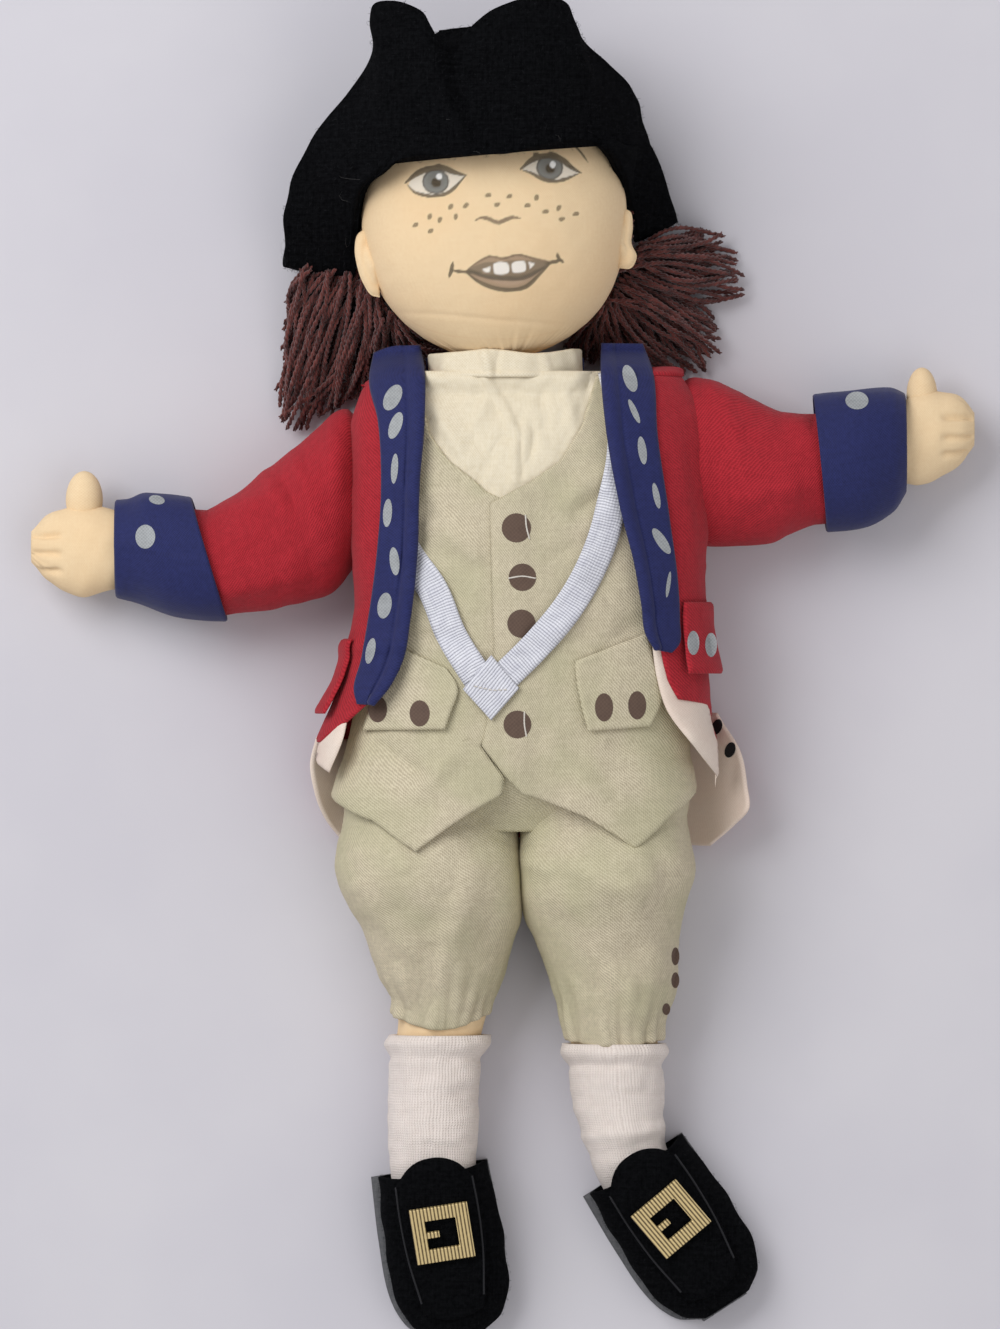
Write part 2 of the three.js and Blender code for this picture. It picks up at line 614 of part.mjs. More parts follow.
function torsoPieces() {
  const seam = seamAngle;
  const coatSeam = coatSeamAngle;
  const hem = flareBelow(hemFlareTop, waistcoatBackLow, hemFlare);
  const skirt = flareBelow(coatFlareTop, coatLow, coatFlare);
  const body = loft(torsoForm.rings(torsoStations[0][0], garmentTop, 10, torsoSides, 0, torsoFloor));
  const [[neckLow], [neckHigh]] = neckStations;
  const neck = loft(neckForm.rings(neckLow, neckHigh, 1, neckSides));
  const band = (offset) => neckForm.rings(neckLow, neckbandTop, 1, neckSides, offset);
  const bandInner = band(clothGap);
  const bandOuter = band(clothGap + muslinThick);
  const seat = (offset, floor) => (
    torsoForm.rings(torsoStations[0][0], seatTop, 3, torsoSides, offset, floor)
  );
  const seatOuter = seat(shirtLayer + muslinThick, shirtFloor);
  const seatInner = seat(shirtLayer, shirtFloor + muslinThick);
  const on = (edge, layer) => edgeOn(torsoForm, edge, layer);
  const shirt = wrap(torsoForm, {
    left: on(shirtEdgeRight, shirtLayer),
    right: on(shirtEdgeLeft, shirtLayer),
    low: level(shirtLow),
    high: level(shirtHigh),
    layer: shirtLayer,
    thick: muslinThick,
    cols: 7,
    rows: 5,
  });
  const waistcoat = {
    layer: waistcoatLayer,
    thick: twillThick,
    floor: waistcoatFloor,
    flare: hem,
  };
  const waistcoatRight = wrap(torsoForm, {
    ...waistcoat,
    left: fixed(-seam),
    right: on(rightEdge, waistcoatLayer),
    low: spread(rightHemShares, rightHem),
    high: spread(hemTopShares, rightTop),
    cols: 12,
    rows: 10,
  });
  const waistcoatLeft = wrap(torsoForm, {
    ...waistcoat,
    left: on(closingEdge, waistcoatLayer),
    right: fixed(seam),
    low: spread(leftHemShares, leftHem),
    high: spread(leftTopShares, leftTop),
    cols: 10,
    rows: 10,
  });
  const waistcoatBack = wrap(torsoForm, {
    ...waistcoat,
    left: fixed(seam + seamSlit),
    right: fixed(fullTurn - seam - seamSlit),
    low: level(waistcoatBackLow),
    high: level(garmentTop),
    cols: 12,
    rows: 7,
  });
  const belts = [[beltOuterRight, beltInnerRight], [beltInnerLeft, beltOuterLeft]];
  const [beltRight, beltLeft] = belts.map(([left, right]) => wrap(torsoForm, {
    left: on(left, overWaistcoat),
    right: on(right, overWaistcoat),
    low: level(left[0][0]),
    high: level(left[left.length - 1][0]),
    layer: overWaistcoat,
    thick: ribbonThick,
    cols: 1,
    rows: 14,
  }));
  const join = sheet((u, v, height) => {
    const x = beltJoin.x + (u - v) * beltJoin.half;
    const y = beltJoin.y + (u + v - 1) * beltJoin.half;
    const angle = torsoForm.angleOf(x, y, joinLayer);
    return torsoForm.point(y, angle, joinLayer + height);
  }, 2, 2, ribbonThick);
  const pockets = Object.values(pocketEdges).map((pocket) => wrap(torsoForm, {
    left: on(pocket.left, overWaistcoat),
    right: on(pocket.right, overWaistcoat),
    low: spread([0, 1], pocket.low),
    high: spread([0, 1], pocket.high),
    layer: overWaistcoat,
    thick: twillThick,
    cols: 4,
    rows: 4,
    flare: hem,
  }));
  const coat = { layer: coatLayer, thick: coatThick, floor: 0, flare: skirt, rows: 13 };
  const coatRight = wrap(torsoForm, {
    ...coat,
    left: fixed(-coatSeam),
    right: on(coatEdgeRight, coatLayer),
    low: level(coatLow),
    high: level(garmentTop),
    cols: 5,
  });
  const coatLeft = wrap(torsoForm, {
    ...coat,
    left: on(coatEdgeLeft, coatLayer),
    right: fixed(coatSeam),
    low: level(coatLowLeft),
    high: level(garmentTop),
    cols: 5,
  });
  const coatBack = wrap(torsoForm, {
    ...coat,
    left: fixed(coatSeam + seamSlit),
    right: fixed(fullTurn - coatSeam - seamSlit),
    low: level(coatLow),
    high: level(garmentTop),
    cols: 11,
  });
  const lapel = { layer: lapelLayer, thick: lapelThick, flare: skirt, cols: 2, rows: 12 };
  const lapelRight = wrap(torsoForm, {
    ...lapel,
    left: on(lapelOuterRight, lapelLayer),
    right: on(lapelInnerRight, lapelLayer),
    low: level(lapelOuterRight[0][0]),
    high: level(lapelOuterRight[2][0]),
  });
  const lapelLeft = wrap(torsoForm, {
    ...lapel,
    left: on(lapelInnerLeft, lapelLayer),
    right: on(lapelOuterLeft, lapelLayer),
    low: level(lapelOuterLeft[0][0]),
    high: level(lapelOuterLeft[3][0]),
  });
  const collar = wrap(neckForm, {
    left: fixed(coatSeam),
    right: fixed(fullTurn - coatSeam),
    low: level(collarLow),
    high: level(collarTop),
    layer: clothGap + muslinThick + clothGap,
    thick: lapelThick,
    cols: 12,
    rows: 1,
  });
  const coatPocket = ({ from, to, low, high }) => wrap(torsoForm, {
    left: fixed(from),
    right: fixed(to),
    low: level(low),
    high: level(high),
    layer: lapelLayer,
    thick: coatThick,
    cols: 4,
    rows: 3,
    flare: (y, angle) => (
      skirt(y, angle) + flareBelow(high, low, coatPocketFlare)(y, angle)
    ),
  });
  return [
    piece('torso', 'skin', body),
    piece('neck', 'skin', neck),
    piece('shirt_neckband', 'shirt', loft([...bandOuter, ...bandInner.reverse()], true)),
    piece('shirt_front', 'shirt', shirt),
    piece('breeches_seat', 'khaki', loft([...seatOuter, ...seatInner.reverse()], true)),
    piece('waistcoat_right', 'khaki', waistcoatRight),
    piece('waistcoat_left', 'khaki', waistcoatLeft),
    piece('waistcoat_back', 'khaki', waistcoatBack),
    piece('waistcoat_pocket_right', 'khaki', pockets[0]),
    piece('waistcoat_pocket_left', 'khaki', pockets[1]),
    piece('belt_right', 'ribbon', beltRight),
    piece('belt_left', 'ribbon', beltLeft),
    piece('belt_join', 'ribbon', join),
    piece('coat_right', 'red', coatRight),
    piece('coat_left', 'red', coatLeft),
    piece('coat_back', 'red', coatBack),
    piece('coat_collar', 'navy', collar),
    piece('lapel_right', 'navy', lapelRight),
    piece('lapel_left', 'navy', lapelLeft),
    piece('coat_pocket_right', 'red', coatPocket(coatPockets.right)),
    piece('coat_pocket_left', 'red', coatPocket(coatPockets.left)),
  ];
}

function tailPieces(name, tail) {
  // A coat tail lies flat under the thigh and curls up beside it; its edge is turned back.
  const tailPoint = (share, v, height) => {
    const outer = mix(tail.outer[1], tail.outer[0], v);
    const x = mix(tail.inner, outer, share);
    const curl = Math.max((x - tail.curlStart) / (outer - tail.curlStart), 0);
    const lean = curl * Math.sign(tail.inner - outer);
    const y = mix(tail.low, tail.top, v);
    return new THREE.Vector3(x + lean * height, y, tail.rise * curl * curl + height);
  };
  const startShare = (tail.curlStart - tail.inner) / (tail.outer[0] - tail.inner);
  const from = mix(startShare, 1, turnbackShare);
  const turnedPoint = (u, v, height) => (
    tailPoint(mix(from, 1, u), v, coatThick + 2 * clothGap + height)
  );
  return [
    piece(`coat_tail_${name}`, 'red', sheet(tailPoint, 9, 2, coatThick)),
    piece(`turnback_${name}`, 'lining', sheet(turnedPoint, 3, 2, coatThick)),
  ];
}

function headPieces() {
  const [first] = headForm.stations[0];
  const last = -first;
  const skull = loft(headForm.rings(first, last, 12, headSides, 0, headFloor));
  const ear = (sign) => wrap(headForm, {
    left: fixed(sign * earAngles[0]),
    right: fixed(sign * earAngles[1]),
    low: level(earLow),
    high: level(earHigh),
    layer: clothGap,
    thick: earThick,
    cols: 3,
    rows: 5,
    swell: (u, v) => Math.max(Math.sin(Math.PI * u) * Math.sin(Math.PI * v), earThinShare) ** 0.5,
  });
  const cap = wrap(headForm, {
    left: fixed(hairAngle),
    right: fixed(fullTurn - hairAngle),
    low: level(hairLow),
    high: level(hairHigh),
    layer: layerGap,
    thick: yarnThick,
    floor: hairFloor,
    cols: 12,
    rows: 5,
  });
  const bunch = (stations) => {
    const form = new Form(stations, roundShare);
    return loft(form.rings(stations[0][0], stations[stations.length - 1][0], 6, bunchSides));
  };
  return [
    piece('head', 'skin', skull),
    piece('ear_right', 'skin', ear(-1)),
    piece('ear_left', 'skin', ear(1)),
    piece('hair_cap', 'yarn', cap),
    piece('hair_bunch_right', 'yarn', bunch(bunchRight)),
    piece('hair_bunch_left', 'yarn', bunch(bunchLeft)),
  ];
}

function brimRings() {
  // Eight corners round the section of the brim at each step on its way round the head.
  const mirrored = (rows) => [
    ...rows,
    ...rows.slice(1, -1).reverse().map(([x, y, z]) => [-x, y, z]),
  ].map(([x, y, z]) => new THREE.Vector3(x + brimShift, y, z));
  const fold = new THREE.CatmullRomCurve3(mirrored(brimFold), true);
  const edge = new THREE.CatmullRomCurve3(mirrored(brimEdge), true);
  const angles = [...brimAngles, ...brimAngles.slice(1, -1).reverse().map((angle) => fullTurn - angle)];
  return Array.from({ length: brimSteps }, (_, step) => {
    const share = (step / brimSteps) * angles.length;
    const from = Math.floor(share);
    const next = angles[from + 1] ?? fullTurn;
    const angle = degrees(mix(angles[from], next, share - from));
    const inner = crownForm.point(brimRing, angle, -feltThick, crownFloor + feltThick);
    const low = fold.getPoint(step / brimSteps);
    const high = edge.getPoint(step / brimSteps);
    low.z = Math.max(low.z, 0);
    high.z = Math.max(high.z, 0);
    const inward = (point) => new THREE.Vector3(-point.x, 0, head.lift - point.z).normalize();
    const up = new THREE.Vector3(0, 1, 0);
    const middle = low.clone().lerp(high, 0.5);
    middle.addScaledVector(inward(middle), -brimBulge);
    middle.z = Math.max(middle.z, 0);
    return [
      inner,
      low,
      middle,
      high,
      high.clone().addScaledVector(inward(high), feltThick),
      middle.clone().addScaledVector(inward(middle), feltThick),
      low.clone().addScaledVector(inward(low), feltThick).addScaledVector(up, feltThick),
      inner.clone().addScaledVector(up, feltThick),
    ];
  });
}

function hatPieces() {
  const [low] = crownStations[0];
  const [top] = crownStations[crownStations.length - 1];
  const innerFloor = crownFloor + feltThick;
  const outer = crownForm.rings(low, top, 5, neckSides, 0, crownFloor);
  const inner = crownForm.rings(low, top - feltThick, 5, neckSides, -feltThick, innerFloor);
  return [
    piece('hat_crown', 'blackFelt', loft([...outer.reverse(), ...inner])),
    piece('hat_brim', 'blackFelt', loft(brimRings(), true)),
  ];
}

function armPieces(name, limb) {
  const form = new Form(limb.core, roundShare);
  const mitten = loft(limbRings(limb, form, limb.core[0][0], coreRoot(limb), 0));
  const { thumb } = limb;
  const digit = new THREE.SphereGeometry(1, 10, 7);
  digit.scale(thumb.long, thumb.wide, thumb.deep);
  digit.translate(thumb.side, thumb.at, thumb.lift);
  digit.deleteAttribute('normal');
  digit.deleteAttribute('uv');
  const cuffForm = new Form(limb.cuff, roundShare);
  const [cuffLow] = limb.cuff[0];
  const [cuffHigh] = limb.cuff[limb.cuff.length - 1];
  const cuffOuter = cuffForm.rings(cuffLow, cuffHigh, 3, limbSides, 0);
  const cuffInner = cuffForm.rings(cuffLow, cuffHigh, 3, limbSides, -coatThick, coatThick);
  const sleeve = limbSkin(limb, form, limb.sleeveEnd, coatThick);
  const arm = group(
    piece(`arm_${name}`, 'skin', fuse(mitten, digit)),
    piece(`sleeve_${name}`, 'red', sleeve),
    piece(`cuff_${name}`, 'navy', loft([...cuffOuter, ...cuffInner.reverse()], true)),
  );
  arm.position.set(limb.place[0], limb.place[1], 0);
  arm.rotation.z = degrees(limb.turn);
  return arm;
}

function legPieces(name, limb) {
  const form = new Form(limb.core, roundShare);
  const [toe] = limb.core[0];
  const core = loft(limbRings(limb, form, toe, coreRoot(limb), 0));
  const breeches = limbSkin(limb, form, limb.breechesEnd, muslinThick);
  const sockOffset = clothGap + stockingThick;
  const top = limb.stockingTop;
  const outer = limbRings(limb, form, toe - sockOffset, top, sockOffset);
  const inner = limbRings(limb, form, toe - clothGap, top, clothGap, stockingThick);
  return group(
    piece(`leg_${name}`, 'skin', core),
    piece(`breeches_${name}`, 'khaki', breeches),
    piece(`stocking_${name}`, 'stocking', loft([...outer, ...inner.reverse()])),
  );
}

function shoePieces(name, shoe) {
  const [toe] = shoeStations[0];
  const [mouth] = shoeStations[shoeStations.length - 1];
  const upperFloor = feltThick + clothGap;
  const outer = shoeForm.rings(toe, mouth, 6, limbSides, 0, upperFloor);
  const innerToe = toe + upperThick;
  const innerFloor = upperFloor + upperThick;
  const inner = shoeForm.rings(innerToe, mouth, 6, limbSides, -upperThick, innerFloor);
  const sole = sheet((u, v, height) => {
    const y = mix(toe - soleRim, mouth, v);
    const [, side, , wide] = shoeForm.section(y);
    return new THREE.Vector3(side + (2 * u - 1) * (wide + soleRim), y, height);
  }, 1, 8, feltThick);
  const tongue = wrap(shoeForm, {
    left: fixed(-tongueAngle),
    right: fixed(tongueAngle),
    low: spread([0, 0.5, 1], tongueLow),
    high: spread([0, 0.5, 1], tongueHigh),
    layer: layerGap,
    thick: tongueThick,
    cols: 4,
    rows: 6,
  });
  const halfSide = buckle.width / 2;
  const square = (half) => [[-half, -half], [half, -half], [half, half], [-half, half]]
    .map(([x, y]) => new THREE.Vector2(x, y));
  const outline = new THREE.Shape(square(halfSide));
  outline.holes.push(new THREE.Path(prongHole()));
  const frame = new THREE.ExtrudeGeometry(outline, { depth: buckle.thick, bevelEnabled: false });
  const buckleMesh = piece(`buckle_${name}`, 'gold', frame);
  const [, , lift, , deep] = shoeForm.section(buckle.at);
  const rise = lift + deep + layerGap + tongueThick + buckle.clear;
  buckleMesh.position.set(0, buckle.at, rise);
  buckleMesh.rotation.set(degrees(buckle.slope), 0, degrees(shoe.buckleTurn), 'ZXY');
  const made = group(
    piece(`shoe_upper_${name}`, 'blackFelt', loft([...outer, ...inner.reverse()])),
    piece(`shoe_sole_${name}`, 'greySole', sole),
    piece(`shoe_tongue_${name}`, 'blackFelt', tongue),
    buckleMesh,
  );
  made.position.set(shoe.place[0], shoe.place[1], 0);
  made.rotation.z = degrees(shoe.turn);
  return made;
}

function prongHole() {
  // The square hole of the buckle, with the short prong standing in from one side.
  const half = buckle.hole / 2;
  const bar = buckle.bar / 2;
  const tip = -half + buckle.prong;
  return [
    [-half, -half], [-half, -bar], [tip, -bar], [tip, bar], [-half, bar], [-half, half],
    [half, half], [half, -half],
  ].map(([x, y]) => new THREE.Vector2(x, y));
}

function buildDoll() {
  const crownOfHead = group(...headPieces(), ...hatPieces());
  crownOfHead.position.set(head.place[0], head.place[1], 0);
  crownOfHead.rotation.z = degrees(head.tilt);
  const doll = group(
    ...torsoPieces(),
    ...tailPieces('right', tails.right),
    ...tailPieces('left', tails.left),
    crownOfHead,
    armPieces('right', limbs.armRight),
    armPieces('left', limbs.armLeft),
    legPieces('right', limbs.legRight),
    legPieces('left', limbs.legLeft),
    shoePieces('right', limbs.legRight.shoe),
    shoePieces('left', limbs.legLeft.shoe),
  );
  // The frame sits under the middle of the doll's box, on the table.
  doll.updateMatrixWorld(true);
  const box = new THREE.Box3().setFromObject(doll, true);
  const middle = box.getCenter(new THREE.Vector3());
  doll.position.set(-middle.x, -middle.y, -box.min.z);
  return doll;
}

export default buildDoll();
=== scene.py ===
"""A stuffed cloth doll in an eighteenth-century soldier's dress, lying on its back.

X runs to the doll's left, Y to the crown of its head, Z up from the table.
Sizes are in millimetres until a mesh is made; the sides in the names are the doll's own.
"""
import logging
import math
from collections.abc import Callable, Sequence
from dataclasses import dataclass, field, replace
from enum import Enum
from functools import cache

import bmesh
import bpy
import numpy as np
from mathutils import Matrix, Vector
from mathutils.bvhtree import BVHTree


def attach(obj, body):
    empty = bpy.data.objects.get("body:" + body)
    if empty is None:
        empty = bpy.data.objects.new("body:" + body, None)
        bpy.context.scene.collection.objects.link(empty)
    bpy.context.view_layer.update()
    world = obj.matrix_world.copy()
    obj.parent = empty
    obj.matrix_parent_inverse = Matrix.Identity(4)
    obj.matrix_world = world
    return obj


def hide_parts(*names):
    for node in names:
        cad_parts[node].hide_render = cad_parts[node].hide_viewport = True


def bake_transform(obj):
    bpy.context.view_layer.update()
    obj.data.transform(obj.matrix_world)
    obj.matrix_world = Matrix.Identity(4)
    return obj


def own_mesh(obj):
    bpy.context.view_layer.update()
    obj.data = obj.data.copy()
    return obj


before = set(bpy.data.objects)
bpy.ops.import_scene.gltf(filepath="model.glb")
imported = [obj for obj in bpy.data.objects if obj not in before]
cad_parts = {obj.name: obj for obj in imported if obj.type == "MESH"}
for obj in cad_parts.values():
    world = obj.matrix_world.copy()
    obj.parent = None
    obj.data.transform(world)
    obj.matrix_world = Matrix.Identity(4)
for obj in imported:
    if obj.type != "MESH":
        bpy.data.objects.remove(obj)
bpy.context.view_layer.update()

log = logging.getLogger("doll")

Array = np.ndarray
Place = tuple[float, float]
Colour = tuple[float, float, float]
Spot = tuple[Place, Place, float]

SHIFT = np.array([-0.2, 2.175, 0.0])
METRE = 0.001
PIXEL = 0.35
MIDDLE_PIXEL = (502.0, 665.0)

# Cloth thicknesses, and the air between two pieces that lie on each other.
CLOTH_GAP = 0.45
LAYER_GAP = 0.85
MUSLIN = 0.9
TWILL = 1.0
RIBBON = 0.7
COAT = 1.2
LAPEL = 1.1
YARN = 2.6
FELT = 2.4
SHOE_FELT = 1.6

# Layers on the torso, each as the distance of its inner face from the stuffed body.
SHIRT_LAYER = LAYER_GAP
WAISTCOAT_LAYER = SHIRT_LAYER + MUSLIN + LAYER_GAP
OVER_WAISTCOAT = WAISTCOAT_LAYER + TWILL + LAYER_GAP
JOIN_LAYER = OVER_WAISTCOAT + RIBBON + CLOTH_GAP
COAT_LAYER = OVER_WAISTCOAT + TWILL + CLOTH_GAP
LAPEL_LAYER = COAT_LAYER + COAT + LAYER_GAP

# Where the clothes on the torso end, where it starts to narrow, and the side of the neck.
SHOULDER_LINE = 101.0
CHEST_LINE = 58.0
NECK_SIDE = 36.0

# Heights at which the same layers are pressed flat by the table.
WAISTCOAT_FLOOR = COAT + CLOTH_GAP
SHIRT_FLOOR = WAISTCOAT_FLOOR + TWILL + CLOTH_GAP
TORSO_FLOOR = SHIRT_FLOOR + MUSLIN + CLOTH_GAP
CROWN_FLOOR = FELT + CLOTH_GAP
HAIR_FLOOR = CROWN_FLOOR + FELT + CLOTH_GAP
HEAD_FLOOR = HAIR_FLOOR + YARN + LAYER_GAP


def seen(place: Sequence[float]) -> Place:
    """A place in the photograph, in pixels, as X and Y on the doll.

    Args:
        place: Column and row in the photograph.

    Returns:
        X and Y in millimetres.
    """
    return (place[0] - MIDDLE_PIXEL[0]) * PIXEL, (MIDDLE_PIXEL[1] - place[1]) * PIXEL


def all_seen(places: Sequence[Sequence[float]]) -> Array:
    """Several places in the photograph as rows of X and Y on the doll."""
    return np.array([seen(place) for place in places])


def smooth(share: Array | float) -> Array | float:
    """A share from 0 to 1 that starts and ends gently."""
    held = np.clip(share, 0.0, 1.0)
    return held * held * (3.0 - 2.0 * held)


def bell(distance: Array | float, width: float) -> Array | float:
    """A soft hill: 1 in the middle, and almost nothing beyond twice its width."""
    return np.exp(-((distance / width) ** 2))


def turns(count: int) -> Array:
    """Angles all the way round, as one row of a grid."""
    return np.linspace(0, 2 * math.pi, count, endpoint=False)[None, :]


def glide(places: Array, values: Array, slopes: Array, wanted: Array) -> Array:
    """Rows read between given rows, along a line without corners.

    Args:
        places: Where the given rows lie, rising.
        values: The given rows.
        slopes: How fast each of them changes.
        wanted: Where to read.

    Returns:
        A row for each wanted place.
    """
    index = np.clip(np.searchsorted(places, wanted, side="right") - 1, 0, len(places) - 2)
    span = (places[index + 1] - places[index])[..., None]
    t = (wanted - places[index])[..., None] / span
    blend = smooth(t)
    mixed = values[index] * (1 - blend) + values[index + 1] * blend
    leave = t * (1 - t) ** 2 * span * slopes[index]
    arrive = t * t * (1 - t) * span * slopes[index + 1]
    return mixed + leave - arrive


def curve(points: Array, count: int) -> Array:
    """A smooth line through points, as evenly spaced rows.

    Args:
        points: The rows to pass through.
        count: How many rows to return.

    Returns:
        The rows along the line.
    """
    points = np.asarray(points, float)
    steps = np.linalg.norm(np.diff(points, axis=0), axis=1)
    where = np.concatenate([[0.0], np.cumsum(steps)])
    slopes = np.gradient(points, where, axis=0)
    return glide(where, points, slopes, np.linspace(0.0, where[-1], count))


def turned_in_plan(points: Array, place: Place, degrees: float) -> Array:
    """Points of a piece's own frame in the frame of the doll.

    Args:
        points: X, Y, Z in the last axis.
        place: Where the frame's origin lies on the doll.
        degrees: How far the frame is turned.

    Returns:
        The moved points.
    """
    cosine, sine = math.cos(math.radians(degrees)), math.sin(math.radians(degrees))
    x, y = points[..., 0], points[..., 1]
    plan = [place[0] + x * cosine - y * sine, place[1] + x * sine + y * cosine]
    return np.stack([*plan, points[..., 2]], axis=-1)


def boxed(angle: Array, power: float) -> tuple[Array, Array]:
    """Sine and cosine of an angle, made fuller, for a section between an oval and a box."""
    return tuple(np.sign(wave) * np.abs(wave) ** power for wave in (np.sin(angle), np.cos(angle)))


def in_frame(place: Sequence[float]) -> tuple[float, ...]:
    """A place on the doll in metres of the shared frame."""
    return tuple((np.array(place) + SHIFT) * METRE)


def ripple(x: Array, y: Array, size: float, seed: int, waves: int = 9) -> Array:
    """An uneven field of soft hills, about 1 high.

    Args:
        x: Places across.
        y: Places along.
        size: Usual width of a hill.
        seed: Another seed gives another field.
        waves: How many waves are laid over each other.

    Returns:
        The height at each place.
    """
    chance = np.random.default_rng(seed)
    hills = np.zeros(np.broadcast(x, y).shape)
    for _ in range(waves):
        turn = chance.uniform(0, 2 * math.pi)
        pace = 2 * math.pi / (size * chance.uniform(0.7, 1.9))
        phase = chance.uniform(0, 2 * math.pi)
        hills = hills + np.sin((x * math.cos(turn) + y * math.sin(turn)) * pace + phase)
    return hills / math.sqrt(waves)


@dataclass(frozen=True)
class Fold:
    """A crease or swelling in cloth between two places seen in the photograph."""

    start: Place
    end: Place
    width: float
    height: float

    def lift(self, x: Array, y: Array) -> Array:
        """How far the fold lifts the cloth at each place.

        Args:
            x: Places across the doll.
            y: Places along the doll.

        Returns:
            The lift in millimetres.
        """
        (ax, ay), (bx, by) = seen(self.start), seen(self.end)
        dx, dy = bx - ax, by - ay
        share = ((x - ax) * dx + (y - ay) * dy) / (dx * dx + dy * dy)
        away = np.hypot(x - ax - share * dx, y - ay - share * dy)
        fade = np.sqrt(np.clip(4 * share * (1 - share), 0, 1))
        return self.height * bell(away, self.width) * fade


def folded(folds: Sequence[Fold], x: Array, y: Array) -> Array:
    """The lift of several folds together."""
    return 1.5 * sum((fold.lift(x, y) for fold in folds), np.zeros(np.broadcast(x, y).shape))


class Form:
    """A stuffed form: oval sections strung along Y."""

    def __init__(self, stations: Sequence[Sequence[float]], squareness: float,
                 shoulder: float = 0.0) -> None:
        """Keep the stations.

        Args:
            stations: Rows of place along Y, centre X, height, half width, half depth.
            squareness: 2 is an oval, more is boxier.
            shoulder: How far the doll's right shoulder hangs.
        """
        self.table = np.array(stations, float)
        self.shoulder = shoulder
        self.power = 2.0 / squareness
        before = self.table[np.maximum(np.arange(len(self.table)) - 1, 0)]
        after = self.table[np.minimum(np.arange(len(self.table)) + 1, len(self.table) - 1)]
        self.slopes = (after - before) / (after[:, :1] - before[:, :1])

    def section(self, y: Array) -> tuple[Array, Array, Array, Array]:
        """Centre X, height, half width and half depth at places along Y."""
        places = self.table[:, 0]
        row = glide(places, self.table, self.slopes, np.clip(y, places[0], places[-1]))
        return row[..., 1], row[..., 2], row[..., 3], row[..., 4]

    def point(self, y: Array, angle: Array, offset: Array | float, floor: float) -> Array:
        """Points on the form; angle zero faces up, a quarter turn faces the doll's left.

        Args:
            y: Places along Y.
            angle: Angles round the form.
            offset: Distance from the form.
            floor: No point lies lower.

        Returns:
            Points in the last axis of the result.
        """
        y, angle, offset = np.broadcast_arrays(y, angle, offset)
        side, lift, wide, deep = self.section(y)
        across, up = boxed(angle, self.power)
        height = np.maximum(lift + (deep + offset) * up, floor)
        x = side + (wide + offset) * across
        drop = self.shoulder * smooth((-x - NECK_SIDE) / 22) * smooth((y - CHEST_LINE) / 42)
        return np.stack([x, y - drop, height], axis=-1)

    def angle_of(self, x: Array, y: Array, offset: float) -> Array:
        """The angle at which a form with that offset has the given X."""
        side, _, wide, _ = self.section(y)
        share = np.clip((x - side) / (wide + offset), -1, 1)
        return np.sign(share) * np.arcsin(np.abs(share) ** (1 / self.power))

    def over(self, x: Array, y: Array, offset: Array | float) -> Array:
        """Points on the upper face of the form at places in plan."""
        return self.point(y, self.angle_of(x, y, offset), offset, 0.0)


def normals(points: Array, wrapped: bool) -> Array:
    """Unit normals of a grid of points.

    Args:
        points: Rows, columns, and X, Y, Z.
        wrapped: Whether the last column is next to the first.

    Returns:
        One normal for each point.
    """
    along = np.gradient(points, axis=0)
    if wrapped:
        across = (np.roll(points, -1, axis=1) - np.roll(points, 1, axis=1)) / 2
    else:
        across = np.gradient(points, axis=1)
    found = np.cross(across, along)
    return found / np.maximum(np.linalg.norm(found, axis=-1, keepdims=True), 1e-9)


def rim_share(rows: int, cols: int, wrapped: bool, run: float) -> Array:
    """How full a cloth is near its turned edges: 0 at an edge, 1 inside.

    Args:
        rows: Rows of the grid.
        cols: Columns of the grid.
        wrapped: Whether the cloth has no side edges.
        run: Cells over which the cloth swells to its full thickness.

    Returns:
        A share for each grid point.
    """
    row, col = np.indices((rows, cols))
    row = np.minimum(row, rows - 1 - row)
    near = row if wrapped else np.minimum(row, np.minimum(col, cols - 1 - col))
    share = np.clip(near / run, 0, 1)
    return np.sqrt(1 - (1 - share) ** 2)


def hemmed(grid: Array, thick: float, least: float, wrapped: bool = False, run: float = 2.0) -> Array:
    """The thickness of a cloth at each grid point, less along its turned edges.

    Args:
        grid: Rows, columns, and X, Y, Z.
        thick: The full thickness.
        least: The share of it that is left at an edge.
        wrapped: Whether the cloth has no side edges.
        run: Cells over which it swells.

    Returns:
        A thickness for each grid point.
    """
    return thick * (least + (1 - least) * rim_share(*grid.shape[:2], wrapped, run))


def make_object(name: str, points: Array, faces: list, loops_uv: Array | None) -> bpy.types.Object:
    """A new mesh object in the row frame.

    Args:
        name: The piece's name.
        points: Corner points in millimetres on the doll.
        faces: Lists of corner numbers.
        loops_uv: A pattern place for every corner of every face, or None.

    Returns:
        The object, with smooth faces.
    """
    mesh = bpy.data.meshes.new(name)
    mesh.from_pydata(((points.reshape(-1, 3) + SHIFT) * METRE).tolist(), [], faces)
    if loops_uv is not None:
        layer = mesh.uv_layers.new(name="cloth")
        layer.data.foreach_set("uv", loops_uv.astype(np.float32).ravel())
    mesh.validate()
    mesh.shade_smooth()
    made = bpy.data.objects.new(name, mesh)
    bpy.context.scene.collection.objects.link(made)
    return made


def outward(piece: bpy.types.Object) -> None:
    """Turn every face of a closed mesh outwards."""
    mesh = bmesh.new()
    mesh.from_mesh(piece.data)
    bmesh.ops.recalc_face_normals(mesh, faces=mesh.faces)
    mesh.to_mesh(piece.data)
    mesh.free()


def select_only(*pieces: bpy.types.Object) -> None:
    """Select these pieces and nothing else; the first one becomes the active one."""
    bpy.ops.object.select_all(action="DESELECT")
    for piece in pieces:
        piece.select_set(True)
    bpy.context.view_layer.objects.active = pieces[0]


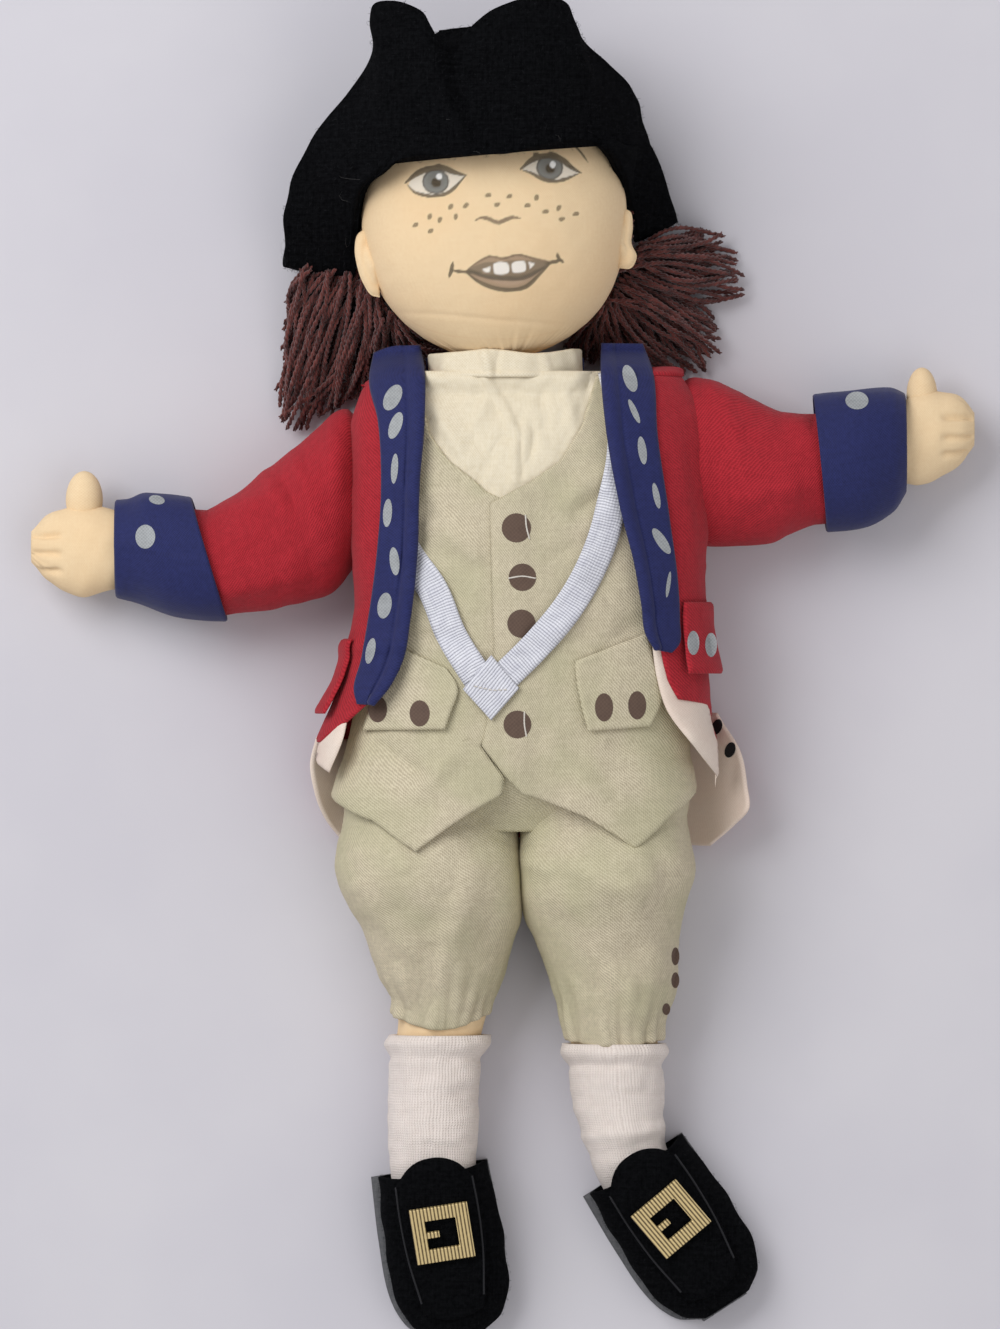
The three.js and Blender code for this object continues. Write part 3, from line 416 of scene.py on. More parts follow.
def quad_grid(rows: int, cols: int, wrapped: bool, flip: bool, start: int) -> Array:
    """Corner numbers of the faces of a grid, one row for each face."""
    row, col = np.indices((rows - 1, cols if wrapped else cols - 1))
    here = row * cols + col
    beside = row * cols + (col + 1) % cols
    quads = np.stack([here, beside, beside + cols, here + cols], axis=-1).reshape(-1, 4) + start
    return quads[:, ::-1] if flip else quads


def fan(first: int, cols: int, pole: int, flip: bool) -> list[list[int]]:
    """Triangles from a ring of corners to one pole."""
    pairs = [[first + col, first + (col + 1) % cols] for col in range(cols)]
    return [(pair[::-1] if flip else pair) + [pole] for pair in pairs]


def grid_uv(rows: int, cols: int, wrapped: bool, flip: bool, size: Place) -> Array:
    """Pattern places for the corners of the faces of a grid, in metres of cloth."""
    steps = cols if wrapped else cols - 1
    row, col = np.indices((rows - 1, steps))
    made = [
        np.stack([(col + right) / steps * size[0], (row + up) / (rows - 1) * size[1]], axis=-1)
        for right, up in ((0, 0), (1, 0), (1, 1), (0, 1))
    ]
    places = np.stack(made, axis=-2).reshape(-1, 4, 2) * METRE
    return (places[:, ::-1] if flip else places).reshape(-1, 2)


def grid_size(points: Array, wrapped: bool) -> Place:
    """Mean width and length of a grid of points along its own lines."""
    closed = np.concatenate([points, points[:, :1]], axis=1) if wrapped else points
    width = np.linalg.norm(np.diff(closed, axis=1), axis=-1).sum(axis=1).mean()
    length = np.linalg.norm(np.diff(points, axis=0), axis=-1).sum(axis=0).mean()
    return float(width), float(length)


def shell(name: str, inner: Array, thick: Array | float, wrapped: bool = False,
          outer: Array | None = None) -> bpy.types.Object:
    """A closed piece of cloth from the grid of its inner face.

    Args:
        name: The piece's name.
        inner: Rows, columns, and X, Y, Z of the inner face.
        thick: Thickness, one value or one for each grid point.
        wrapped: Whether the cloth runs all the way round.
        outer: The grid of its outer face, where the thickness doesn't give it.

    Returns:
        The object.
    """
    rows, cols = inner.shape[:2]
    if outer is None:
        outer = inner + normals(inner, wrapped) * (np.ones((rows, cols)) * thick)[..., None]
    size = grid_size(outer, wrapped)
    count = rows * cols
    faces = [quad_grid(rows, cols, wrapped, True, 0), quad_grid(rows, cols, wrapped, False, count)]
    places = [grid_uv(rows, cols, wrapped, True, size), grid_uv(rows, cols, wrapped, False, size)]
    low = np.arange(cols)
    high = low + (rows - 1) * cols
    rims = [(low, False), (high, True)]
    if not wrapped:
        side = np.arange(rows) * cols
        rims += [(side, True), (side + cols - 1, False)]
    for edge, flip in rims:
        here, beside = (edge, np.roll(edge, -1)) if wrapped else (edge[:-1], edge[1:])
        strip = np.stack([here, beside, beside + count, here + count], axis=-1)
        faces.append(strip[:, ::-1] if flip else strip)
        places.append(np.zeros((len(strip) * 4, 2)))
    corners = np.concatenate(faces)
    points = np.concatenate([inner.reshape(-1, 3), outer.reshape(-1, 3)])
    made = make_object(name, points, corners.tolist(), np.concatenate(places))
    outward(made)
    return made


def stuffed(name: str, rings: Array) -> bpy.types.Object:
    """A closed stuffed form from rings that run round it.

    Args:
        name: The piece's name.
        rings: Rings, points round each, and X, Y, Z.

    Returns:
        The object.
    """
    rows, cols = rings.shape[:2]
    size = grid_size(rings, True)
    points = np.concatenate([rings.reshape(-1, 3), rings[:1].mean(axis=1), rings[-1:].mean(axis=1)])
    faces = quad_grid(rows, cols, True, False, 0).tolist()
    faces += fan(0, cols, rows * cols, True) + fan((rows - 1) * cols, cols, rows * cols + 1, False)
    places = [grid_uv(rows, cols, True, False, size), np.zeros((2 * cols * 3, 2))]
    made = make_object(name, points, faces, np.concatenate(places))
    outward(made)
    return made


class Weave(Enum):
    """How the threads of a cloth cross."""

    PLAIN = "plain"
    TWILL = "twill"
    RIBBED = "ribbed"
    KNIT = "knit"
    FELT = "felt"


class Graph:
    """A short way to place nodes in a material or a node group."""

    def __init__(self, tree: bpy.types.NodeTree) -> None:
        """Keep the tree that the nodes go into."""
        self.tree = tree

    def add(self, kind: str, inputs: dict | None = None, **settings: object) -> bpy.types.Node:
        """A new node with its inputs linked or set.

        Args:
            kind: The node's type, without its ShaderNode start.
            inputs: Input names or numbers, each with a socket or a plain value.
            **settings: Properties of the node.

        Returns:
            The node.
        """
        node = self.tree.nodes.new("ShaderNode" + kind)
        for key, value in settings.items():
            setattr(node, key, value)
        for key, value in (inputs or {}).items():
            if isinstance(value, bpy.types.NodeSocket):
                self.tree.links.new(value, node.inputs[key])
            else:
                node.inputs[key].default_value = value
        return node

    def math(self, operation: str, *values: object) -> bpy.types.NodeSocket:
        """The result of a Math node."""
        return self.add("Math", dict(enumerate(values)), operation=operation).outputs[0]

    def noise(self, vector: object, scale: float, detail: float = 2.0) -> bpy.types.NodeSocket:
        """The value of a Noise Texture."""
        inputs = {"Vector": vector, "Scale": scale, "Detail": detail}
        return self.add("TexNoise", inputs).outputs["Fac"]

    def ranged(self, value: object, low: float, high: float,
               to: Place = (0.0, 1.0)) -> bpy.types.NodeSocket:
        """A value taken smoothly from one range to another."""
        inputs = {"Value": value, "From Min": low, "From Max": high, "To Min": to[0], "To Max": to[1]}
        return self.add("MapRange", inputs, interpolation_type="SMOOTHSTEP").outputs["Result"]

    def stretched(self, u: object, v: object, across: float, along: float) -> bpy.types.NodeSocket:
        """A place with its two parts made longer or shorter."""
        parts = {0: self.math("MULTIPLY", u, across), 1: self.math("MULTIPLY", v, along)}
        return self.add("CombineXYZ", parts).outputs[0]

    def mix(self, share: object, *colours: object) -> bpy.types.NodeSocket:
        """Two colours mixed by a share."""
        full = [(*colour, 1.0) if isinstance(colour, tuple) else colour for colour in colours]
        return self.add("Mix", {0: share, 6: full[0], 7: full[1]}, data_type="RGBA").outputs[2]


def new_group(name: str, inputs: Sequence[tuple[str, str, float]], outputs: Sequence[str]) -> tuple:
    """An empty shader node group with its sockets.

    Args:
        name: The group's name.
        inputs: Name, socket kind (Vector or Float) and start value of each input.
        outputs: Names of the value outputs.

    Returns:
        The group, its Graph, its input node and its output node.
    """
    made = bpy.data.node_groups.new(name, "ShaderNodeTree")
    for label, kind, value in inputs:
        socket = made.interface.new_socket(label, in_out="INPUT", socket_type="NodeSocket" + kind)
        if kind == "Float":
            socket.default_value = value
    for label in outputs:
        made.interface.new_socket(label, in_out="OUTPUT", socket_type="NodeSocketFloat")
    graph = Graph(made)
    source = made.nodes.new("NodeGroupInput")
    target = made.nodes.new("NodeGroupOutput")
    return made, graph, source, target


@cache
def thread_group(weave: Weave) -> bpy.types.NodeTree:
    """A node group that draws the threads of a cloth, from a pattern place in metres.

    Args:
        weave: Which cloth.

    Returns:
        The group: Height is the thread relief, Tone its light and dark, Uneven slow slubs.
    """
    inputs = [("Vector", "Vector", 0.0), ("Pitch", "Float", 0.0006)]
    made, graph, source, target = new_group(f"{weave.value}_threads", inputs, ["Height", "Tone", "Uneven"])
    shares = graph.add("SeparateXYZ", {0: source.outputs["Vector"]})
    u = graph.math("DIVIDE", shares.outputs[0], source.outputs["Pitch"])
    v = graph.math("DIVIDE", shares.outputs[1], source.outputs["Pitch"])
    wobble = graph.math("MULTIPLY", graph.noise(graph.stretched(u, v, 0.15, 0.15), 1.0), 1.4)
    u, v = graph.math("ADD", u, wobble), graph.math("ADD", v, wobble)

    def wave(value: object, pace: float = 1.0) -> bpy.types.NodeSocket:
        """A wave with one crest for each thread."""
        return graph.math("SINE", graph.math("MULTIPLY", value, pace * math.pi))

    if weave is Weave.PLAIN:
        crossing = graph.math("MULTIPLY", wave(u), wave(v))
        height = graph.math("MULTIPLY_ADD", crossing, 0.5, 0.5)
    elif weave is Weave.TWILL:
        diagonal = wave(graph.math("ADD", u, v))
        crossing = graph.math("MULTIPLY", wave(u, 2.0), 0.35)
        height = graph.math("MULTIPLY_ADD", graph.math("ADD", diagonal, crossing), 0.4, 0.5)
    elif weave is Weave.RIBBED:
        rib = graph.math("ABSOLUTE", wave(v))
        across = graph.math("MULTIPLY", wave(u, 2.0), 0.12)
        height = graph.math("ADD", graph.math("POWER", rib, 0.6), across)
    elif weave is Weave.KNIT:
        column = graph.math("ABSOLUTE", wave(u))
        lean = graph.math("MULTIPLY", graph.math("PINGPONG", u, 0.5), 1.2)
        stitch = wave(graph.math("ADD", v, lean), 2.0)
        height = graph.math("MULTIPLY_ADD", stitch, 0.25, graph.math("MULTIPLY", column, 0.7))
    else:
        place = graph.add("CombineXYZ", {0: u, 1: v}).outputs[0]
        hairs = graph.add("TexNoise", {"Vector": place, "Scale": 0.9, "Detail": 5.0, "Distortion": 1.6})
        height = hairs.outputs["Fac"]
    slubs = [
        graph.noise(graph.stretched(u, v, across, along), 1.0, 1.0)
        for across, along in ((0.04, 0.9), (0.9, 0.04))
    ]
    uneven = graph.math("MULTIPLY", graph.math("ADD", *slubs), 0.5)
    coarse = graph.noise(graph.stretched(u, v, 0.3, 0.3), 1.0, 3.0)
    grain = graph.math("MULTIPLY_ADD", coarse, 0.35, graph.math("MULTIPLY", uneven, 0.35))
    tone = graph.math("MULTIPLY_ADD", height, 0.3, grain)
    for label, value in (("Height", height), ("Tone", tone), ("Uneven", uneven)):
        made.links.new(value, target.inputs[label])
    return made


@cache
def cloud_group() -> bpy.types.NodeTree:
    """A node group of slow stains for all the cloths."""
    inputs = [("Vector", "Vector", 0.0), ("Size", "Float", 0.03)]
    made, graph, source, target = new_group("handling", inputs, ["Stain"])
    pace = graph.math("DIVIDE", 1.0, source.outputs["Size"])
    cloud = graph.add("TexNoise", {"Vector": source.outputs["Vector"], "Scale": pace, "Detail": 3.0})
    made.links.new(graph.ranged(cloud.outputs["Fac"], 0.35, 0.7), target.inputs["Stain"])
    return made


@dataclass(frozen=True)
class Finish:
    """What every surface has: a name, a light and a dark colour, and the slot that it fills."""

    name: str
    colour: Colour
    shade: Colour
    slot: str = field(default="", kw_only=True)

    def surface(self, graph: Graph) -> dict:
        """The shader's inputs, made of nodes."""
        raise NotImplementedError

    def material(self) -> bpy.types.Material:
        """The material, built once."""
        name = f"{self.name}_surface"
        if name in bpy.data.materials:
            return bpy.data.materials[name]
        made = bpy.data.materials.new(name)
        made.use_nodes = True
        made.node_tree.nodes.clear()
        graph = Graph(made.node_tree)
        shader = graph.add("BsdfPrincipled", self.surface(graph))
        graph.add("OutputMaterial", {"Surface": shader.outputs[0]})
        return made

    def dress(self, piece: bpy.types.Object) -> bpy.types.Object:
        """Give the piece this finish."""
        piece.data.materials.clear()
        piece.data.materials.append(self.material())
        return piece


@dataclass(frozen=True)
class ClothFinish(Finish):
    """A cloth: its colours, its threads and how it takes the light."""

    weave: Weave
    pitch: float = 0.6
    relief: float = 0.12
    contrast: float = 0.5
    roughness: float = 0.9
    sheen: float = 0.0
    stain: Colour | None = None
    stain_share: float = 0.5
    painted: bool = False
    uv: bool = True

    def surface(self, graph: Graph) -> dict:
        """Threads, stains, paint and relief."""
        place = graph.add("TexCoord").outputs["UV" if self.uv else "Object"]
        body = graph.add("TexCoord").outputs["Object"]
        pattern = {"Vector": place, "Pitch": self.pitch * METRE}
        threads = graph.add("Group", pattern, node_tree=thread_group(self.weave))
        handling = graph.add("Group", {"Vector": body}, node_tree=cloud_group())
        tone = graph.ranged(threads.outputs["Tone"], 0.5 - self.contrast / 2, 0.5 + self.contrast / 2)
        colour = graph.mix(tone, self.shade, self.colour)
        if self.stain is not None:
            share = graph.math("MULTIPLY", handling.outputs["Stain"], self.stain_share)
            colour = graph.mix(share, colour, self.stain)
        if self.painted:
            paint = graph.add("VertexColor", layer_name="paint")
            patchy = graph.ranged(threads.outputs["Height"], -0.2, 0.45)
            share = graph.math("MULTIPLY", paint.outputs["Alpha"], patchy)
            colour = graph.mix(share, colour, paint.outputs["Color"])
        rough = graph.ranged(threads.outputs["Uneven"], 0.3, 0.7, (self.roughness - 0.08, self.roughness))
        bump = graph.add("Bump", {
            "Height": threads.outputs["Height"], "Strength": 1.0, "Distance": self.relief * METRE,
        })
        return {
            "Base Color": colour, "Roughness": rough, "Normal": bump.outputs["Normal"],
            "Sheen Weight": self.sheen, "Sheen Roughness": 0.5,
            "Specular IOR Level": 0.02 if self.weave is Weave.FELT else 0.2,
        }


MUSLIN_SKIN = ClothFinish(
    "muslin_skin", (0.86, 0.67, 0.425), (0.79, 0.58, 0.345), Weave.PLAIN, pitch=0.45, relief=0.04,
    contrast=0.5, stain=(0.80, 0.53, 0.28), stain_share=0.25, painted=True, slot="muslin",
)
MUSLIN_PLAIN = replace(MUSLIN_SKIN, name="muslin_plain", painted=False)
SHIRT_COTTON = ClothFinish(
    "cream_cotton", (0.81, 0.73, 0.57), (0.70, 0.61, 0.44), Weave.PLAIN, pitch=0.5, relief=0.05,
    contrast=0.4, slot="cotton_cream",
)
KHAKI = ClothFinish(
    "khaki_twill", (0.73, 0.645, 0.47), (0.50, 0.43, 0.305), Weave.TWILL, pitch=0.58, relief=0.18,
    contrast=0.34, stain=(0.47, 0.46, 0.27), stain_share=0.45, slot="khaki_twill",
)
RIBBON_WHITE = ClothFinish(
    "ribbed_ribbon", (0.84, 0.84, 0.88), (0.42, 0.42, 0.50), Weave.RIBBED, pitch=1.05, relief=0.3,
    contrast=0.7, roughness=0.55, sheen=0.2, slot="ribbon",
)
RED_TWILL = ClothFinish(
    "red_twill", (0.47, 0.024, 0.036), (0.31, 0.013, 0.021), Weave.TWILL, pitch=0.62, relief=0.16,
    contrast=0.36, roughness=0.88, sheen=0.06, slot="red_twill",
)
NAVY = ClothFinish(
    "navy_cotton", (0.023, 0.029, 0.125), (0.012, 0.015, 0.070), Weave.PLAIN, pitch=0.5, relief=0.06,
    contrast=0.5, roughness=0.78, sheen=0.1, slot="navy_cotton",
)
LINING = ClothFinish(
    "lining_cloth", (0.85, 0.74, 0.64), (0.74, 0.62, 0.52), Weave.PLAIN, pitch=0.5, relief=0.05,
    contrast=0.6, stain=(0.80, 0.60, 0.50), stain_share=0.4, slot="lining",
)
BLACK_FELT = ClothFinish(
    "black_felt", (0.0085, 0.0088, 0.0100), (0.0020, 0.0021, 0.0025), Weave.FELT, pitch=0.45,
    relief=0.9, contrast=0.3, roughness=1.0, sheen=0.0, uv=False, slot="black_felt",
)
SOLE_FELT = ClothFinish(
    "sole_felt", (0.17, 0.17, 0.175), (0.09, 0.09, 0.095), Weave.FELT, pitch=0.5, relief=0.3,
    contrast=0.5, roughness=0.95, uv=False, slot="grey_felt",
)
STOCKING_KNIT = ClothFinish(
    "stocking_knit", (0.93, 0.84, 0.775), (0.74, 0.64, 0.575), Weave.KNIT, pitch=0.95, relief=0.3,
    contrast=0.7, roughness=0.95, sheen=0.2, slot="knit",
)
BUTTON_PAINT = ClothFinish(
    "button_paint", (0.145, 0.095, 0.07), (0.10, 0.065, 0.05), Weave.PLAIN, pitch=0.7, relief=0.06,
    contrast=0.7, uv=False, roughness=0.8,
)
SILVER_PAINT = ClothFinish(
    "silver_paint", (0.40, 0.415, 0.42), (0.25, 0.26, 0.265), Weave.PLAIN, pitch=0.6, relief=0.05,
    contrast=0.6, uv=False, roughness=0.45,
)
BLACK_PAINT = ClothFinish(
    "black_paint", (0.02, 0.02, 0.022), (0.012, 0.012, 0.014), Weave.PLAIN, pitch=0.6, relief=0.05,
    contrast=0.6, uv=False, roughness=0.6,
)
# Loose fibres are coloured lighter than the black felt they come from: a painted highlight for the light
# that the fuzz catches.
LIT_BLACK_FIBRE = replace(BLACK_FELT, name="lit_black_fibre", colour=(0.028, 0.029, 0.032), relief=0.05, slot="")
PALE_FIBRE = ClothFinish(
    "pale_fibre", (0.16, 0.155, 0.15), (0.1, 0.095, 0.09), Weave.FELT, pitch=0.5, relief=0.05, uv=False,
)
THREAD_WHITE = ClothFinish(
    "white_thread", (0.75, 0.70, 0.62), (0.6, 0.55, 0.48), Weave.RIBBED, pitch=0.5, relief=0.1, uv=False,
)


@dataclass(frozen=True)
class YarnFinish(Finish):
    """Plied yarn: its colour varies from strand to strand and along each strand."""

    def surface(self, graph: Graph) -> dict:
        """Slow changes of colour, and fine fibres."""
        place = graph.add("TexCoord")
        slow = graph.noise(place.outputs["Object"], 260.0, 2.0)
        fibres = graph.add("TexNoise", {
            "Vector": place.outputs["Object"], "Scale": 2600.0, "Detail": 3.0, "Distortion": 2.0,
        }).outputs["Fac"]
        share = graph.math("MULTIPLY_ADD", slow, 0.7, graph.math("MULTIPLY", fibres, 0.5))
        colour = graph.mix(graph.ranged(share, 0.35, 0.85), self.shade, self.colour)
        bump = graph.add("Bump", {"Height": fibres, "Strength": 1.0, "Distance": 0.15 * METRE})
        rough = graph.ranged(fibres, 0.3, 0.7, (0.85, 0.98))
        return {
            "Base Color": colour, "Roughness": rough, "Normal": bump.outputs["Normal"],
            "Sheen Weight": 0.25, "Sheen Roughness": 0.5, "Specular IOR Level": 0.2,
        }


@dataclass(frozen=True)
class GiltFinish(Finish):
    """Ribbed gilt of the buckles: bright crests with dark gaps between them."""

    pitch: float

    def surface(self, graph: Graph) -> dict:
        """Ribs worn on their crests."""
        place = graph.add("TexCoord").outputs["UV"]
        shares = graph.add("SeparateXYZ", {0: place})
        phase = graph.math("MULTIPLY", shares.outputs[0], 2 * math.pi / (self.pitch * METRE))
        rib = graph.math("MULTIPLY_ADD", graph.math("SINE", phase), 0.5, 0.5)
        worn = graph.noise(graph.add("TexCoord").outputs["Object"], 700.0, 3.0)
        share = graph.ranged(graph.math("MULTIPLY_ADD", worn, 0.35, rib), 0.2, 0.75)
        colour = graph.mix(share, self.shade, self.colour)
        metal = graph.ranged(share, 0.0, 1.0, (0.2, 0.45))
        bump = graph.add("Bump", {"Height": rib, "Strength": 1.0, "Distance": 0.25 * METRE})
        rough = graph.ranged(worn, 0.3, 0.7, (0.3, 0.5))
        normal = bump.outputs["Normal"]
        return {"Base Color": colour, "Metallic": metal, "Roughness": rough, "Normal": normal}


HAIR_YARN = YarnFinish("brown_yarn", (0.19, 0.050, 0.040), (0.040, 0.009, 0.008), slot="yarn")
GILT = GiltFinish("ribbed_gilt", (0.80, 0.62, 0.30), (0.10, 0.06, 0.02), 1.25, slot="gilt")


Edge = Callable[[Array], Array]

# How far cloth at the top of the shoulders comes down.
SHOULDER_FALL = 16.0


@dataclass(frozen=True)
class AtAngle:
    """An edge of a panel that stays at one angle round the form."""

    degrees: float


def table(pairs: Sequence[Place]) -> Edge:
    """A reading of pairs of place and value, with straight lines between them."""
    places, values = np.array(pairs, float).T
    return lambda where: np.interp(where, places, values)


def steady(value: float) -> Edge:
    """The same value everywhere."""
    return lambda where: np.full(np.shape(where), float(value))


TORSO_FORM = Form([
    (-46.6, 4.5, 31, 57, 27), (-20, 6, 31, 55, 29.5), (10, 9.5, 31, 54.5, 31),
    (45, 9.5, 31, 55.5, 31), (72, 9, 31, 55.5, 28.5), (90, 8, 30.5, 53.5, 23.5),
    (101.5, 7, 30, 48.5, 17),
], 2.3, shoulder=7.0)
NECK_FORM = Form([(101.9, 1, 35, 25.3, 19), (109.5, 1, 35, 25.3, 19)], 2.1)

TORSO_FOLDS = (
    Fold((352, 650), (420, 640), 3.2, 0.9),
    Fold((398, 560), (470, 600), 4.0, -0.7),
    Fold((560, 500), (606, 470), 3.0, 0.8),
    Fold((566, 520), (606, 492), 3.2, -0.9),
    Fold((540, 640), (600, 600), 3.6, 0.8),
    Fold((590, 650), (660, 610), 3.4, -0.7),
    Fold((430, 520), (486, 560), 3.6, 0.7),
    Fold((404, 590), (440, 500), 3.4, -0.6),
    Fold((470, 640), (400, 634), 2.8, -0.6),
    Fold((440, 500), (480, 560), 2.6, 0.7),
    Fold((540, 560), (600, 540), 2.6, -0.6),
    Fold((398, 480), (430, 520), 2.4, 0.6),
    Fold((470, 740), (420, 800), 3.0, 0.9),
    Fold((540, 740), (600, 800), 3.2, 0.9),
    Fold((600, 740), (680, 760), 3.0, -0.8),
    Fold((380, 740), (440, 780), 2.8, -0.8),
)


def torso_lift(x: Array, y: Array) -> Array:
    """The wrinkles that every layer of clothing on the torso shares."""
    return folded(TORSO_FOLDS, x, y) + 0.32 * ripple(x, y, 24, 3) + 0.16 * ripple(x, y, 9, 4)


def flare_below(y: Array, angle: Array, top: float, bottom: float, amount: float) -> Array:
    """How far cloth stands away from the sides, more and more below a given place."""
    share = np.clip((top - y) / (top - bottom), 0, 1)
    return amount * share * share * np.abs(np.sin(angle))


def hem_flare(y: Array, angle: Array) -> Array:
    """The stand of the waistcoat's hem."""
    return flare_below(y, angle, -10, -45, 4)


def skirt_flare(y: Array, angle: Array) -> Array:
    """The stand of the coat's skirts."""
    return flare_below(y, angle, 24, -27, 9)


def straight_pattern(piece: bpy.types.Object) -> bpy.types.Object:
    """Lay the threads straight round the torso, whatever the cut of the piece."""
    mean_radius = 48.0
    corners = np.empty(len(piece.data.vertices) * 3)
    piece.data.vertices.foreach_get("co", corners)
    points = corners.reshape(-1, 3) / METRE - SHIFT
    middle_x, middle_z = TORSO_FORM.section(points[:, 1])[:2]
    around = np.arctan2(points[:, 0] - middle_x, points[:, 2] - middle_z) * mean_radius
    places = np.stack([around, points[:, 1]], axis=-1) * METRE
    ends = np.empty(len(piece.data.loops), np.int32)
    piece.data.loops.foreach_get("vertex_index", ends)
    piece.data.uv_layers.active.data.foreach_set("uv", places[ends].ravel())
    return piece


@dataclass
class Panel:
    """A flat piece of cloth laid on a stuffed form and sewn or held there."""

    name: str
    left: Edge | AtAngle
    right: Edge | AtAngle
    low: Edge
    high: Edge
    layer: float
    thick: float
    form: Form = TORSO_FORM
    floor: float = 0.0
    spacing: float = 1.1
    rim: float = 2.5
    lift: Callable[[Array, Array], Array] = torso_lift
    flare: Callable[[Array, Array], Array] | None = None

    def places(self) -> tuple[Array, Array]:
        """Places along Y and angles of the grid, rows from low to high."""
        share = np.linspace(0, 1, 60)
        length = float(np.max(self.high(share) - self.low(share)))
        middle = np.array([(self.low(0.5) + self.high(0.5)) / 2])
        turn = float((self._angle(self.right, middle) - self._angle(self.left, middle))[0])
        radius = float(self.form.section(middle)[2][0])
        cols = max(int(turn * radius / self.spacing), 5)
        rows = max(int(length / self.spacing), 5)
        u = np.linspace(0, 1, cols)[None, :]
        v = np.linspace(0, 1, rows)[:, None]
        y = self.low(u) * (1 - v) + self.high(u) * v
        angle = self._angle(self.left, y) * (1 - u) + self._angle(self.right, y) * u
        return y, angle

    def _angle(self, edge: Edge | AtAngle, y: Array) -> Array:
        """The angle of an edge, which is given as one angle or by its X."""
        if isinstance(edge, AtAngle):
            return np.radians(np.full(np.shape(y), edge.degrees))
        return self.form.angle_of(edge(y), y, self.layer)

    def build(self) -> bpy.types.Object:
        """The piece as a closed cloth with turned edges."""
        y, angle = self.places()
        flat = self.form.point(y, angle, 0.0, 0.0)
        facing = np.clip(np.cos(angle) * 3 + 1.2, 0, 1)
        offset = self.layer + self.lift(flat[..., 0], flat[..., 1]) * facing
        if self.flare is not None:
            offset = offset + self.flare(y, angle)
        grid = self.form.point(y, angle, offset, self.floor)
        return straight_pattern(shell(self.name, grid, hemmed(grid, self.thick, 0.35, run=self.rim)))


def on_torso(places: Array, layer: float, swell: Array | float = 0.0) -> Array:
    """Points on the clothed torso above places in plan.

    Args:
        places: X and Y in the last axis.
        layer: Distance of the layer from the stuffed body.
        swell: What stands up further.

    Returns:
        Points in the last axis.
    """
    x, y = places[..., 0], places[..., 1]
    made = TORSO_FORM.over(x, y, layer + torso_lift(x, y) + swell)
    made[..., 2] -= SHOULDER_FALL * smooth((y - 98) / 12) ** 1.5
    return made


@dataclass
class Patch:
    """A cut piece of cloth on the torso, between two lines seen in the photograph."""

    name: str
    first: Sequence[Place]
    second: Sequence[Place]
    layer: float
    thick: float
    spacing: float = 0.88
    rim: float = 2.5
    curved: bool = False
    straight: bool = True
    swell: Callable[[Array, Array], Array] | None = None
    flare: Callable[[Array, Array], Array] | None = None

    def build(self) -> bpy.types.Object:
        """The patch as a closed cloth; rows run along the two lines."""
        lines = [all_seen(line) for line in (self.first, self.second)]
        lengths = [np.linalg.norm(np.diff(line, axis=0), axis=1).sum() for line in lines]
        gap = np.linalg.norm(lines[0].mean(axis=0) - lines[1].mean(axis=0))
        rows = max(int(max(lengths) / self.spacing), 4)
        cols = max(int(gap / self.spacing), 5)
        smooth_lines = [curve(line, rows) if self.curved else spread(line, rows) for line in lines]
        u = np.linspace(0, 1, cols)[None, :, None]
        places = smooth_lines[0][:, None] * (1 - u) + smooth_lines[1][:, None] * u
        across = np.broadcast_to(u[..., 0], places.shape[:2])
        along = np.broadcast_to(np.linspace(0, 1, rows)[:, None], places.shape[:2])
        swell = self.swell(across, along) if self.swell else 0.0
        if self.flare is not None:
            turn = TORSO_FORM.angle_of(places[..., 0], places[..., 1], self.layer)
            swell = swell + self.flare(places[..., 1], turn)
        grid = on_torso(places, self.layer, swell)
        if np.mean(normals(grid, False)[..., 2]) < 0:
            grid = grid[:, ::-1]
        cloth = shell(self.name, grid, hemmed(grid, self.thick, 0.35, run=self.rim))
        return straight_pattern(cloth) if self.straight else cloth


def spread(points: Array, count: int) -> Array:
    """Evenly spaced rows along the straight runs between points."""
    steps = np.linalg.norm(np.diff(points, axis=0), axis=1)
    where = np.concatenate([[0.0], np.cumsum(steps)])
    wanted = np.linspace(0, where[-1], count)
    return np.stack([np.interp(wanted, where, column) for column in points.T], axis=1)


def finished(piece: bpy.types.Object, finish: Finish, body: str, *nodes: str) -> bpy.types.Object:
    """Dress a piece, let it ride on its body and hide the solids it stands for.

    Args:
        piece: The piece, in place.
        finish: What it is made of.
        body: The body it moves with.
        *nodes: The solids it replaces.

    Returns:
        The piece.
    """
    finish.dress(piece)
    if nodes:
        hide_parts(*nodes)
    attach(piece, body)
    log.info("%s: %d faces", piece.name, len(piece.data.polygons))
    return piece


def sewn(cloth: bpy.types.Object, finish: Finish, body: str, held: str, rests_on: Sequence[str],
         *nodes: str) -> bpy.types.Object:
    """Dress a cloth and let it ride on its body.

    Args:
        cloth: The cloth, in place.
        finish: What it is made of.
        body: The body it moves with.
        held: Not used.
        rests_on: Not used.
        *nodes: The solids it replaces.

    Returns:
        The cloth.
    """
    finished(cloth, finish, body, *nodes)
    return cloth


def bending(cloth: bpy.types.Object, finish: Finish, node: str) -> bpy.types.Object:
    """Dress a cloth that runs from the torso onto a limb.

    Args:
        cloth: The cloth, in place.
        finish: What it is made of.
        node: The solid it replaces.

    Returns:
        The cloth.
    """
    surface_tree(cloth)
    finish.dress(cloth)
    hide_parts(node)
    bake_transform(cloth)
    log.info("%s: %d faces", cloth.name, len(cloth.data.polygons))
    return cloth


TREES: dict[str, BVHTree] = {}


def surface_tree(cloth: bpy.types.Object) -> BVHTree:
    """A search tree of a piece's faces, built once."""
    if cloth.name not in TREES:
        corners = [corner.co for corner in cloth.data.vertices]
        faces = [face.vertices[:] for face in cloth.data.polygons]
        TREES[cloth.name] = BVHTree.FromPolygons(corners, faces)
    return TREES[cloth.name]


